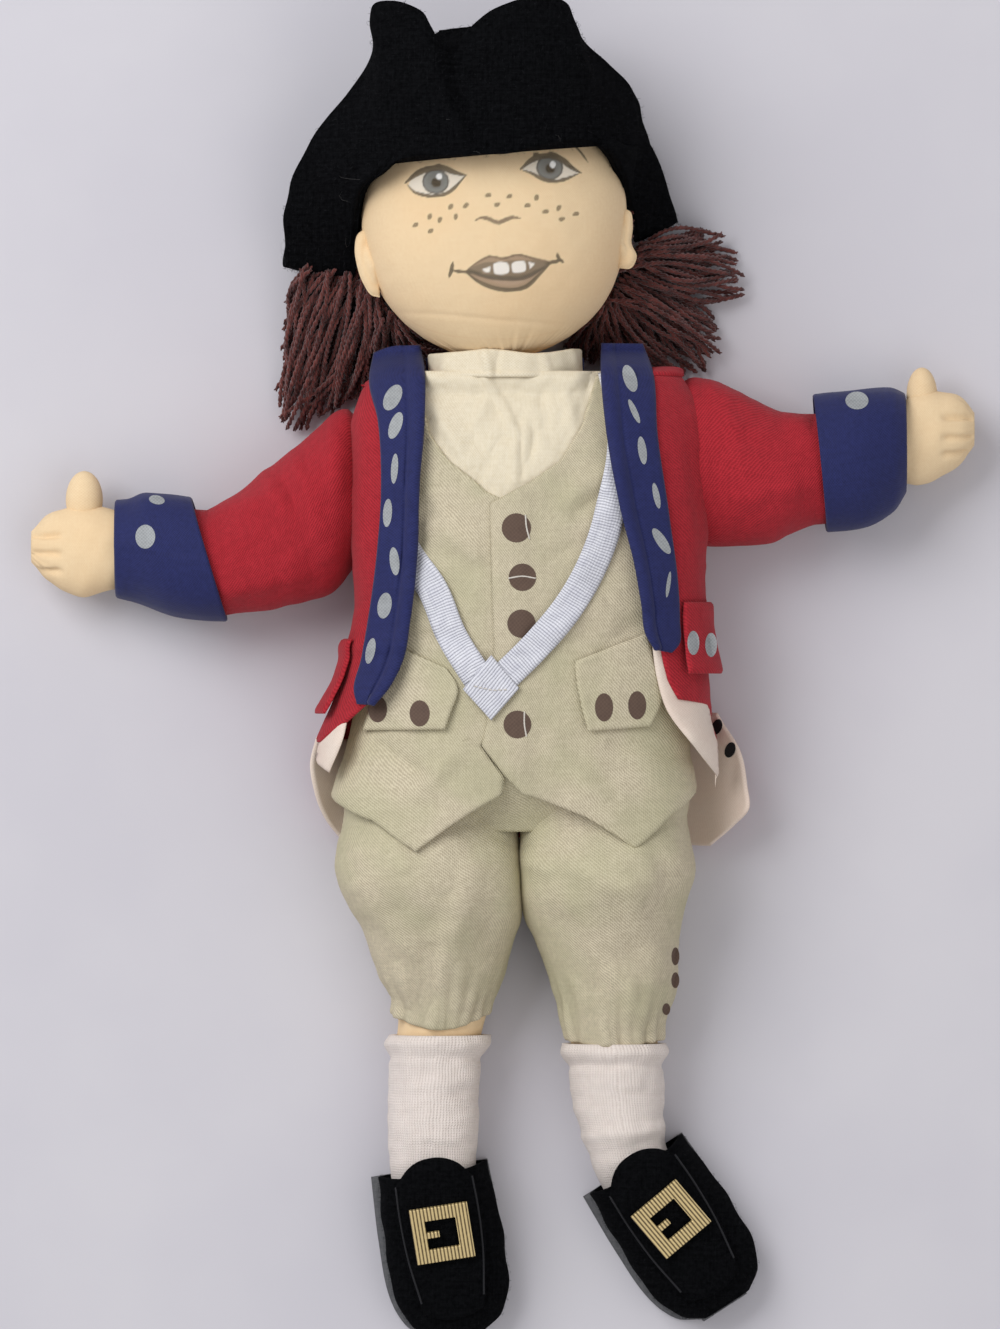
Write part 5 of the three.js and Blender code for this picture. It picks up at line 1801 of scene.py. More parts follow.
@dataclass(frozen=True)
class Blot:
    """A filled shape painted on the face, with a smooth outline through its corners."""

    outline: Sequence[Place]
    colour: Colour
    strength: float = 1.0
    rounded: bool = True

    def cover(self, x: Array, y: Array) -> Array:
        """How fully the paint covers each place.

        Args:
            x: Places across the doll.
            y: Places along the doll.

        Returns:
            Shares from 0 to 1.
        """
        corners = all_seen(self.outline)
        if self.rounded:
            loop = np.vstack([corners[-2:], corners, corners[:2]])
            line = curve(loop, len(loop) * 8)
            half_way = len(line) // 2
            away = np.linalg.norm(line - corners[0], axis=1)
            corners = line[np.argmin(away[:half_way]): half_way + np.argmin(away[half_way:])]
        inside = np.zeros(x.shape, bool)
        near = np.full(x.shape, np.inf)
        for start, end in zip(corners, np.roll(corners, -1, axis=0)):
            dx, dy = end - start
            if dx * dx + dy * dy < TINY:
                continue
            near = np.minimum(near, beside_run(x, y, start, (dx, dy))[1])
            crosses = (start[1] > y) != (end[1] > y)
            at = start[0] + dx * (y - start[1]) / (dy if abs(dy) > TINY else TINY)
            inside ^= crosses & (x < at)
        signed = np.where(inside, near, -near)
        return smooth(signed / PAINT_EDGE + 0.5) * self.strength


def disc(centre: Place, half: Place, turn: float, colour: Colour, strength: float = 1.0) -> Blot:
    """A filled oval.

    Args:
        centre: Its middle in the photograph.
        half: Half its width and half its height, in pixels.
        turn: Its lean in degrees.
        colour: Its colour.
        strength: How fully it covers what is under it.

    Returns:
        The oval as a painted shape.
    """
    angle = turns(16)[0]
    flat = np.stack([half[0] * np.cos(angle), half[1] * np.sin(angle), 0 * angle], axis=-1)
    return Blot(turned_in_plan(flat, centre, turn)[:, :2], colour, strength, rounded=False)


def eye(outline: Sequence[Place], iris: Place, glint: Place, upper: Sequence[Place],
        lower: Sequence[Place]) -> list[Stroke | Blot]:
    """The paint of one eye.

    Args:
        outline: The edge of the white.
        iris: The middle of the iris.
        glint: The middle of the spot of light on it.
        upper: The run of the upper lid.
        lower: The run of the lower lid.

    Returns:
        Its shapes, in the order in which they are laid on.
    """
    return [
        Blot(outline, EYE_WHITE),
        disc(iris, (13.4, 12.6), 0, IRIS_RING),
        disc(iris, (11.8, 11.0), 0, IRIS),
        disc(iris, (8.5, 8.0), 0, (0.11, 0.12, 0.12), 0.5),
        disc((iris[0] + 0.5, iris[1] + 1.0), (4.8, 4.9), 0, (0.008, 0.009, 0.009)),
        disc(glint, (3.0, 3.4), 0, (0.86, 0.86, 0.84)),
        Stroke(upper, 4.8),
        Stroke(lower, 3.0),
    ]


def face_paint() -> list[Stroke | Blot]:
    """Every painted shape of the face, in the order in which they are laid on."""
    freckles = (
        (416, 229), (430, 221), (431, 235), (440, 224), (451, 211), (456, 221), (466, 210), (488, 200),
        (497, 209), (509, 201), (536, 202), (527, 210), (545, 216), (558, 212), (561, 223), (575, 218),
    )
    leans = (35, 65, 45, 70, 50, 75, 40, 15, 20, 30, 75, 10, 15, 60, 20, 20)
    shapes = eye(
        [(409, 189), (424, 177), (440, 173), (454, 177), (465, 180), (455, 192), (438, 200), (421, 198)],
        (436, 186), (439.5, 181),
        [(406, 187), (417, 178), (428, 173.5), (442, 172), (455, 177), (466, 180)],
        [(408, 189), (414, 196), (422, 199), (436, 200.5), (449, 197), (458, 189), (465, 181)],
    )
    shapes += eye(
        [(522, 174), (533, 164), (548, 160), (562, 165), (578, 177), (566, 183), (553, 186), (537, 180)],
        (549, 172), (552, 169),
        [(520, 174), (532, 164), (546, 160), (560, 163), (570, 171), (580, 177)],
        [(522, 175), (531, 178), (542, 184), (554, 186), (566, 183), (577, 178)],
    )
    shapes += [
        Stroke([(410, 184), (418, 176), (426, 172.5), (434, 171)], 2.6),
        Stroke([(436, 170.5), (442, 170)], 3.4),
        Stroke([(533, 159), (538, 159)], 3.6),
        Stroke([(544, 158.5), (553, 158), (562, 163.5)], 2.6),
        Stroke([(562, 164), (568, 166.5)], 2.8),
        Stroke([(567, 170), (573, 171.5)], 2.6),
        Stroke([(570, 147), (578, 154), (587, 166)], 2.0),
        Stroke([(475, 225), (480, 222.5), (486, 222.5), (498, 227), (508, 223), (514, 221.5), (520, 223)],
               3.6, (0.17, 0.12, 0.08)),
    ]
    shapes += [
        disc(place, (3.7, 2.4), -lean, (0.13, 0.10, 0.06), 0.9) for place, lean in zip(freckles, leans)
    ]
    shapes += [
        Blot([(466, 275), (478, 265), (490, 260), (503, 262), (516, 258), (534, 261), (550, 266),
              (540, 276), (526, 290), (506, 293), (486, 288)], LIP),
        Blot([(468, 274), (482, 267), (505, 265), (530, 264), (548, 266), (538, 276), (524, 282),
              (505, 283), (486, 281)], LIP_DARK),
        Blot([(482, 276), (495, 286), (510, 289), (526, 284), (532, 279), (508, 284)],
             (0.42, 0.30, 0.21), 0.7),
        Blot([(482, 272.5), (490, 270.5), (490, 276.5), (484.5, 275.5)], TOOTH, rounded=False),
        Blot([(493, 268.5), (507.5, 267.5), (508.5, 275.5), (494.5, 276.8)], TOOTH),
        Blot([(511, 268.5), (524, 265.5), (525.5, 273.5), (512.5, 275.5)], TOOTH),
        Blot([(528, 265.5), (534.5, 267.5), (529.5, 272.8)], TOOTH, rounded=False),
        Stroke([(449, 281), (451, 276), (453, 266)], 3.2),
        Stroke([(450, 273), (458, 275), (468, 275.5), (480, 276.5)], 3.0),
        Stroke([(466, 275), (472, 281), (486, 289), (506, 293.5), (526, 290), (538, 279), (547, 270)], 3.4),
        Stroke([(470, 276), (486, 280), (505, 282), (524, 281), (540, 273), (548, 269)], 3.6,
               (0.085, 0.07, 0.055)),
        Stroke([(466, 274.5), (479, 265), (490, 260), (503, 262.5), (516, 258.5), (532, 262), (547, 267)],
               1.8, (0.16, 0.115, 0.075)),
        Stroke([(545, 268), (553, 265.5), (560, 264)], 3.2),
        Stroke([(556.5, 257), (558, 262), (563, 266)], 3.2),
        Stroke([(397, 314), (420, 328), (447, 337), (478, 341)], 1.2, FAINT_LINE, 0.35),
        Stroke([(478, 341), (510, 341), (540, 337), (566, 330)], 1.2, FAINT_LINE, 0.35),
    ]
    return shapes


def paint_on(piece: bpy.types.Object, shapes: Sequence[Stroke | Blot], above: float = -1e9) -> None:
    """Keep painted shapes as a colour for every corner of a mesh.

    Args:
        piece: The mesh.
        shapes: The shapes, first ones lowest.
        above: Corners lower than this height, in millimetres, stay bare.
    """
    places = np.zeros(len(piece.data.vertices) * 3)
    piece.data.vertices.foreach_get("co", places)
    places = places.reshape(-1, 3) / METRE - SHIFT
    x, y, z = places.T
    colour = np.tile([0.8, 0.6, 0.35], (len(places), 1))
    total = np.zeros(len(places))
    for shape in shapes:
        low = all_seen(shape.run if isinstance(shape, Stroke) else shape.outline)
        near = (x > low[:, 0].min() - 3) & (x < low[:, 0].max() + 3) & (z > above)
        near &= (y > low[:, 1].min() - 3) & (y < low[:, 1].max() + 3)
        share = shape.cover(x[near], y[near])[:, None]
        colour[near] = colour[near] * (1 - share) + np.array(shape.colour) * share
        total[near] = np.maximum(total[near], share[:, 0])
    layer = piece.data.color_attributes.new(name="paint", type="FLOAT_COLOR", domain="POINT")
    layer.data.foreach_set("color", np.column_stack([colour, total]).astype(np.float32).ravel())


@dataclass
class HeadFrame:
    """The tilted frame that head, hair and hat share."""

    place: Place = (-3.0, 157.5)
    tilt: float = 5.0
    half_tall: float = 51.0
    half_wide: float = 46.5
    half_deep: float = 34.0
    lift: float = 41.0
    power: float = 2 / 2.1
    full: float = 0.92

    def to_doll(self, points: Array) -> Array:
        """Points of the tilted frame in the frame of the doll."""
        return turned_in_plan(points, self.place, self.tilt)

    def egg(self, polar: Array, angle: Array, offset: Array | float, floor: float) -> Array:
        """Points on the head.

        Args:
            polar: Angles from the chin to the crown.
            angle: Angles round the head from the nose.
            offset: Distance from the head.
            floor: No point lies lower.

        Returns:
            Points in the last axis.
        """
        swell = np.sin(polar) ** self.full
        across, up = boxed(angle, self.power)
        x = (self.half_wide * swell + offset * np.sin(polar)) * across
        y = -(self.half_tall + offset) * np.cos(polar) + 0 * angle
        z = self.lift + (self.half_deep * swell + offset * np.sin(polar)) * up
        return np.stack([x, y, np.maximum(z, floor)], axis=-1)

    def polar_at(self, y: Array) -> Array:
        """The polar angle at which the egg has the given Y in its own frame."""
        return np.arccos(np.clip(-np.asarray(y) / self.half_tall, -1, 1))


HEAD = HeadFrame()


@dataclass
class Head:
    """The stuffed head with its painted face and two ears."""

    body: str = "head_body"
    rows: int = 300
    front: int = 250
    back: int = 60

    ears: Sequence[tuple[str, Sequence[Place], float]] = (
        ("right", [(368, 229), (358, 236), (355, 250), (357, 266), (364, 286), (372, 297), (380, 299)],
         5.0),
        ("left", [(620, 210), (629, 213), (632, 228), (631, 246), (636, 258), (630, 270), (618, 270)],
         4.4),
    )

    def build(self) -> None:
        """Make and dress every piece."""
        polar = np.linspace(0.02, math.pi - 0.02, self.rows)[:, None]
        face = np.linspace(-1.25, 1.25, self.front, endpoint=False)
        rest = np.linspace(1.25, 2 * math.pi - 1.25, self.back, endpoint=False)
        angle = np.concatenate([face, rest])[None, :]
        base = HEAD.to_doll(HEAD.egg(polar, angle, 0.0, HEAD_FLOOR))
        x, y = base[..., 0], base[..., 1]
        chin = Fold((395, 314), (568, 329), 1.0, -0.25)
        soft = 0.35 * ripple(x, y, 40, 51) + 0.06 * ripple(x, y, 9, 52)
        puckers = 0.22 * ripple(angle * 40, polar * 0, 5, 53) * smooth((0.75 - polar) / 0.5)
        offset = soft + puckers + chin.lift(x, y)
        head = stuffed("head_stuffing", HEAD.to_doll(HEAD.egg(polar, angle, offset, HEAD_FLOOR)))
        paint_on(head, face_paint(), above=HEAD.lift)
        finished(head, MUSLIN_SKIN, self.body, "head")
        for side, outline, swell in self.ears:
            self._ear(side, outline, swell)

    def _ear(self, side: str, outline: Sequence[Place], swell: float) -> None:
        """A flat stuffed ear sewn in the side seam, with its puckered rim."""
        count = 44
        line = curve(all_seen(outline), count)
        inward = 6.3 if side == "right" else -6.3
        middle = line.mean(axis=0) + (inward, 0.0)
        share = np.linspace(0.03, 1, 16)[:, None]
        plan = middle + (line - middle) * share[..., None]
        end = np.sin(np.linspace(0, math.pi, count))[None, :] ** 0.5
        height = swell * np.sqrt(np.clip(1 - share ** 2, 0, 1)) * (0.4 + 0.6 * end)
        groove = 0.7 * bell(share - 0.62, 0.12)
        depth = 46.0 + np.clip(np.abs(plan[..., 0] - middle[0]) * 0.1, 0, 2)
        top = np.dstack([plan, depth + height - groove])
        low = np.dstack([plan, depth - height * 0.8])[::-1]
        rings = np.concatenate([top, low])
        ear = stuffed(f"ear_pad_{side}", rings[:, ::-1] if side == "right" else rings)
        finished(ear, MUSLIN_PLAIN, self.body, f"ear_{side}")


@dataclass
class Yarn:
    """Two-ply yarn: every strand is two thin plies wound round each other."""

    radius: float = 0.85
    turn_length: float = 4.6
    step: float = 1.25
    sides: int = 4

    def strands(self, name: str, lines: Sequence[Array]) -> bpy.types.Object:
        """All strands of one tuft as one mesh.

        Args:
            name: The piece's name.
            lines: The middle line of each strand, as rows of X, Y, Z.

        Returns:
            The tuft.
        """
        points, faces, count = [], [], 0
        for number, line in enumerate(lines):
            for ply in (0.0, math.pi):
                ring_rows = self._ply(line, ply, number)
                rows = len(ring_rows)
                last = count + (rows - 1) * self.sides
                faces += quad_grid(rows, self.sides, True, False, count).tolist()
                faces.append(list(range(count + self.sides - 1, count - 1, -1)))
                faces.append(list(range(last, last + self.sides)))
                points.append(ring_rows.reshape(-1, 3))
                count += rows * self.sides
        return make_object(name, np.concatenate(points), faces, None)

    def _ply(self, line: Array, phase: float, number: int) -> Array:
        """The rings of one ply along a strand."""
        length = np.linalg.norm(np.diff(line, axis=0), axis=1).sum()
        count = max(int(length / self.step), 6)
        middle = curve(line, count)
        ahead = np.gradient(middle, axis=0)
        ahead /= np.maximum(np.linalg.norm(ahead, axis=1, keepdims=True), 1e-9)
        beside = np.cross(ahead, [0.0, 0.0, 1.0])
        beside /= np.maximum(np.linalg.norm(beside, axis=1, keepdims=True), 1e-9)
        above = np.cross(beside, ahead)
        turn = phase + number * 1.7 + np.linspace(0, length, count) / self.turn_length * 2 * math.pi
        reach = self.radius * 0.5
        taper = np.clip(np.minimum(np.arange(count), np.arange(count)[::-1]) / 2.0 + 0.45, 0, 1)[:, None]
        centre = middle + (np.cos(turn)[:, None] * beside + np.sin(turn)[:, None] * above) * reach
        around = turns(self.sides)[..., None]
        ring = np.cos(around) * beside[:, None] + np.sin(around) * above[:, None]
        return centre[:, None] + ring * (self.radius * 0.62 * taper)[:, :, None]


@dataclass
class Hair:
    """Yarn hair: a cap of strands under the hat and a cut bunch at each side."""

    body: str = "head_body"
    yarn: Yarn = field(default_factory=Yarn)
    cap_rows: int = 34
    cap_steps: int = 46

    def build(self) -> None:
        """Make and dress every piece."""
        self._cap()
        self._bunch(
            "right", [(304, 266), (330, 268), (356, 270), (372, 290), (386, 310), (410, 326)],
            [(288, 326), (283, 366), (288, 426), (302, 428), (326, 408), (352, 398), (386, 380),
             (424, 362), (452, 356)],
            count=190, seed=61,
        )
        self._bunch(
            "left", [(640, 248), (634, 258), (626, 272), (614, 294), (590, 316)],
            [(704, 232), (726, 240), (740, 264), (737, 290), (716, 312), (718, 348), (700, 366),
             (664, 370), (628, 368), (598, 358), (566, 352)],
            count=200, seed=62,
        )

    def _cap(self) -> None:
        """Strands laid round the back of the head, from one temple to the other."""
        chance = np.random.default_rng(71)
        lines = []
        for row in range(self.cap_rows):
            polar = HEAD.polar_at(-22 + row * 1.62)
            angle = np.radians(np.linspace(96, 266, self.cap_steps) + chance.uniform(-1.5, 1.5))
            wander = 0.8 * np.sin(np.linspace(0, 9, self.cap_steps) + chance.uniform(0, 6))
            offset = LAYER_GAP + 1.2 + 0.5 * chance.random()
            points = HEAD.egg(polar + wander / HEAD.half_tall, angle, offset, HAIR_FLOOR + 1.0)
            lines.append(HEAD.to_doll(points))
        finished(self.yarn.strands("hair_cap_yarn", lines), HAIR_YARN, self.body, "hair_cap")

    def _bunch(self, side: str, roots: Sequence[Place], tips: Sequence[Place], count: int,
               seed: int) -> None:
        """A thick bunch of cut strands that spreads from behind the head.

        Args:
            side: The doll's side.
            roots: Line along which the strands start, in the photograph.
            tips: Line that the longest strands reach.
            count: How many strands.
            seed: Another seed gives another bunch.
        """
        chance = np.random.default_rng(seed)
        root_line, tip_line = (curve(all_seen(line), 101) for line in (roots, tips))
        lines = []
        for number in range(count):
            share = (number + chance.random()) / count
            start = root_line[int(100 * share)] + chance.normal(0, 1.2, 2)
            aim = tip_line[int(100 * np.clip(share + chance.normal(0, 0.09), 0, 1))]
            reach = 1.0 - 0.45 * chance.random() ** 2.2
            tip = start + (aim - start) * reach + chance.normal(0, 1.6, 2)
            beside = np.array([-(tip - start)[1], (tip - start)[0]])
            bow = beside * chance.normal(0, 0.10)
            level = chance.uniform(0, 1)
            low, high = 2.5 + 5 * level, 8.0 + 20.0 * level
            rows = []
            phase = chance.uniform(0, 6)
            for step in np.linspace(0, 1, 9):
                place = start * (1 - step) + tip * step + bow * math.sin(step * math.pi)
                place = place + beside / np.linalg.norm(beside) * 0.9 * math.sin(step * 7 + phase) * step
                height = high * (1 - step ** 1.7) + low * step ** 1.7
                rows.append((*place, height + 1.2 * math.sin(step * 9 + phase)))
            lines.append(np.array(rows))
        bunch = self.yarn.strands(f"hair_bunch_yarn_{side}", lines)
        finished(bunch, HAIR_YARN, self.body, f"hair_bunch_{side}")


BrimKey = tuple[float, Sequence[float], Sequence[float]]


@dataclass
class Hat:
    """The felt cocked hat: a crown, a brim turned up on three sides, and loose fibres."""

    body: str = "hat_body"
    stations: Sequence[Sequence[float]] = (
        (20, 0, 40.6, 50.4, 38), (32, 0, 40, 46.5, 36), (48, 0, 39, 37.5, 29), (59, 0, 37, 26, 20),
        (65, 0, 36, 12, 10),
    )
    ring_at: float = 19.3
    # Round the brim from the front corner towards the doll's left: the angle, then the fold and
    # the cut edge, each as column, row and height.
    keys: Sequence[BrimKey] = (
        (0, (481, 160, 86), (446, 60, 77)), (12, (505, 160, 85.5), (472, 33, 75)),
        (24, (530, 153, 84), (496, 14, 73)), (36, (556, 146.5, 81), (536, 1.5, 69)),
        (48, (580, 145, 77), (567, 8, 65)), (60, (598, 150, 71), (581, 40, 59)),
        (72, (611, 163, 62), (607, 66, 52)), (84, (620, 182, 52), (630, 91, 44)),
        (95, (623, 197, 44), (641, 114, 37)), (104, (629, 219, 34), (656, 157, 31)),
        (113, (633, 240, 25), (675, 207, 23)), (122, (638, 238, 13), (675, 216, 12)),
        (135, (636, 212, 5), (645, 135, 4)), (158, (562, 204, 0), (562, 78, 0)),
        (180, (484, 207, 0), (471, 62, 0)), (202, (404, 217, 0), (385, 92, 0)),
        (225, (338, 237, 5), (316, 160, 4)), (238, (344, 272, 13), (283, 254, 12)),
        (247, (354, 277, 25), (280, 263, 22)), (256, (357, 252, 35), (282, 230, 28)),
        (265, (359, 226, 45), (291, 194, 34)), (276, (362, 204, 55), (307, 155, 40)),
        (288, (368, 190, 64), (327, 120, 47)), (300, (381, 180, 72), (351, 93, 54)),
        (312, (399, 166, 78), (371, 56, 61)), (324, (421, 161, 82), (373, 15, 67)),
        (337, (446, 161, 84.5), (396, 7, 72)), (349, (465, 161, 86), (424, 20, 76)),
    )

    def build(self) -> None:
        """Make and dress every piece."""
        crown = self._crown()
        brim = self._brim()
        self._fuzz([(crown, 1800), (brim, 5400)])

    def _crown(self) -> bpy.types.Object:
        """The soft crown with its puckered top."""
        form = Form(self.stations, 2.1)
        low, top, inner_top = 20, 65.5, 62.5
        y = np.concatenate([np.linspace(low, 62, 54), np.linspace(62.6, top, 8)])[::-1, None]
        angle = turns(150)
        pucker = smooth((y - 44) / 20) * ripple(angle * 26, y * 0.15, 7.5, 81)
        offset = 1.1 * pucker + 0.7 * ripple(angle * 36, y, 24, 82)
        outer = HEAD.to_doll(form.point(y, angle, offset, CROWN_FLOOR))
        inner_y = low + (y - low) * (inner_top / top)
        inner = HEAD.to_doll(form.point(inner_y, angle, offset - FELT, CROWN_FLOOR + FELT))
        crown = cup("hat_crown_felt", outer, inner)
        sewn(crown, BLACK_FELT, self.body, "stretched", ["head_stuffing"], "hat_crown")
        return crown

    def _brim(self) -> bpy.types.Object:
        """The brim, from the crown down to its fold and up to its cut edge."""
        form = Form(self.stations, 2.1)
        around = 384
        angles = np.array([key[0] for key in self.keys], float)
        start = np.interp(np.linspace(0, len(angles), around, endpoint=False),
                          np.arange(len(angles) + 1), np.append(angles, 360.0))
        inner = HEAD.to_doll(form.point(self.ring_at, np.radians(start), 0.0, CROWN_FLOOR))
        fold, edge = (loop_curve(self._corners(part), around) for part in (1, 2))
        centre = np.array([HEAD.place[0], 0.0, HEAD.lift])
        away = edge - centre
        away[:, 1] = 0.0
        away /= np.linalg.norm(away, axis=1, keepdims=True)
        length = np.linalg.norm(edge - fold, axis=1)
        rows = [inner * (1 - share) + fold * share for share in np.linspace(0, 1, 7)[:-1]]
        turn = np.arange(around) / around
        front = bell(np.minimum(turn, 1 - turn), 0.012)
        for share in np.linspace(0, 1, 64):
            bulge = 3.5 * math.sin(math.pi * share) * np.minimum(length / 50, 1)
            crease = -3.2 * front * (0.35 + 0.65 * share)
            wave = 0.9 * ripple(turn * 380, share * length, 34, 83) * share
            small = 0.35 * ripple(turn * 380, share * length, 11, 84) * share
            place = fold + (edge - fold) * share
            rows.append(place + away * (bulge + crease + wave + small)[:, None])
        outer = np.array(rows)
        thick = hemmed(outer, FELT, 0.55, True)
        facing = normals(outer, True)
        outer[..., 2] = np.maximum(outer[..., 2], np.maximum(facing[..., 2], 0.0) * thick)
        brim = shell("hat_brim_felt", outer - facing * thick[..., None], thick, wrapped=True, outer=outer)
        sewn(brim, BLACK_FELT, self.body, "folded", ["hat_crown_felt"], "hat_brim")
        return brim

    def _corners(self, part: int) -> Array:
        """The keys of the fold or of the cut edge on the doll."""
        return np.array([[*seen(key[part][:2]), key[part][2]] for key in self.keys])

    def _fuzz(self, pieces: Sequence[tuple[bpy.types.Object, int]]) -> None:
        """Short loose fibres that stand off the felt, coloured lighter than it as a painted highlight."""
        chance = np.random.default_rng(85)
        for piece, count in pieces:
            fuzz = fibres(f"{piece.name}_fuzz", piece, count, chance, lengths=(0.9, 2.4), radius=0.08)
            finished(fuzz, LIT_BLACK_FIBRE, self.body)
        lint = fibres("hat_lint", pieces[1][0], 26, chance, lengths=(4.0, 11.0), radius=0.05)
        finished(lint, PALE_FIBRE, self.body)


def loop_curve(keys: Array, count: int) -> Array:
    """A smooth closed line through keys, with as many rows between each pair of keys."""
    place = np.linspace(0, len(keys), count, endpoint=False)
    index = place.astype(int)
    t = (place - index)[:, None]
    before, here, after, beyond = (keys[(index + step) % len(keys)] for step in (-1, 0, 1, 2))
    return here + 0.5 * t * (
        after - before + t * (2 * before - 5 * here + 4 * after - beyond
                              + t * (3 * (here - after) + beyond - before))
    )


def fibres(name: str, on: bpy.types.Object, count: int, chance: np.random.Generator, lengths: Place,
           radius: float) -> bpy.types.Object:
    """Loose curved fibres that start on the faces of a piece.

    Args:
        name: The new piece's name.
        on: The piece.
        count: How many fibres.
        chance: The source of random numbers.
        lengths: Shortest and longest fibre.
        radius: Half the thickness of a fibre.

    Returns:
        All fibres as one piece.
    """
    faces = on.data.polygons
    chosen = chance.integers(0, len(faces), count)
    points, quads = [], []
    for number in chosen:
        face = faces[int(number)]
        start = np.array(face.center) / METRE - SHIFT
        out = np.array(face.normal)
        side = chance.normal(size=3)
        side -= out * side.dot(out)
        side /= np.linalg.norm(side)
        length = chance.uniform(*lengths)
        lean = chance.uniform(0.5, 1.6)
        steps = np.linspace(0, 1, 4)[:, None]
        line = start + out * (length * 0.5 * np.sin(steps * 2.2))
        line += side * (length * lean * 0.6 * steps ** 1.5)
        line[:, 2] = np.maximum(line[:, 2], 0.3)
        cross = np.cross(out, side)
        first = len(points)
        for row, place in enumerate(line):
            thin = radius * (1 - 0.75 * row / 3)
            for turn in range(3):
                angle = turn * 2 * math.pi / 3
                points.append(place + cross * thin * math.cos(angle) + out * thin * math.sin(angle))
        for row in range(3):
            for turn in range(3):
                a = first + row * 3 + turn
                b = first + row * 3 + (turn + 1) % 3
                quads.append([a, a + 3, b + 3, b])
        quads.append([first, first + 1, first + 2])
        quads.append([first + 11, first + 10, first + 9])
    return make_object(name, np.array(points), quads, None)


@dataclass
class Limb:
    """An arm or a leg: a stuffed form in its own frame, rounded about its hinge line."""

    side: str
    body: str
    core: Sequence[Sequence[float]]
    hinge: tuple[float, float, float]
    place: Place = (0.0, 0.0)
    turn: float = 0.0

    def __post_init__(self) -> None:
        """Make the form once."""
        self.form = Form(self.core, 2.1)

    def to_doll(self, points: Array) -> Array:
        """Points of the limb's own frame in the frame of the doll."""
        return turned_in_plan(points, self.place, self.turn)

    def point(self, y: Array, angle: Array, offset: Array | float, floor: float = 0.0) -> Array:
        """Points round the limb, rounded near the hinge, in the limb's own frame.

        Args:
            y: Places along the limb.
            angle: Angles round it.
            offset: Distance from its form.
            floor: No point lies lower.

        Returns:
            Points in the last axis.
        """
        made = self.form.point(y, angle, offset, floor)
        at, lift, radius = self.hinge
        height = made[..., 2]
        beyond = np.clip(made[..., 1] - at, 0, None)
        room = np.sqrt(np.clip((radius + offset) ** 2 - beyond ** 2, 0.01, None))
        rounded = np.where(beyond > 0, np.clip(height, lift - room, lift + room), height)
        made[..., 2] = np.maximum(rounded, floor)
        return made


def cup(name: str, outer: Array, inner: Array) -> bpy.types.Object:
    """A closed cloth like a sock: both grids start at the closed end.

    Args:
        name: The piece's name.
        outer: Rows, points round, and X, Y, Z of the outer face.
        inner: The same for the inner face.

    Returns:
        The object.
    """
    rows, cols = outer.shape[:2]
    count = rows * cols
    size = grid_size(outer, True)
    poles = [outer[:1].mean(axis=1), inner[:1].mean(axis=1)]
    points = np.concatenate([outer.reshape(-1, 3), inner.reshape(-1, 3), *poles])
    last = np.arange(cols) + count - cols
    beside = np.roll(last, -1)
    mouth = np.stack([last, beside, beside + count, last + count], axis=-1)
    sides = [quad_grid(rows, cols, True, inside, first) for inside, first in ((False, 0), (True, count))]
    faces = np.concatenate([*sides, mouth]).tolist()
    faces += fan(0, cols, 2 * count, True) + fan(count, cols, 2 * count + 1, False)
    places = [grid_uv(rows, cols, True, inside, size) for inside in (False, True)]
    bare_corners = cols * (4 + 2 * 3)
    places.append(np.zeros((bare_corners, 2)))
    made = make_object(name, points, faces, np.concatenate(places))
    outward(made)
    return made


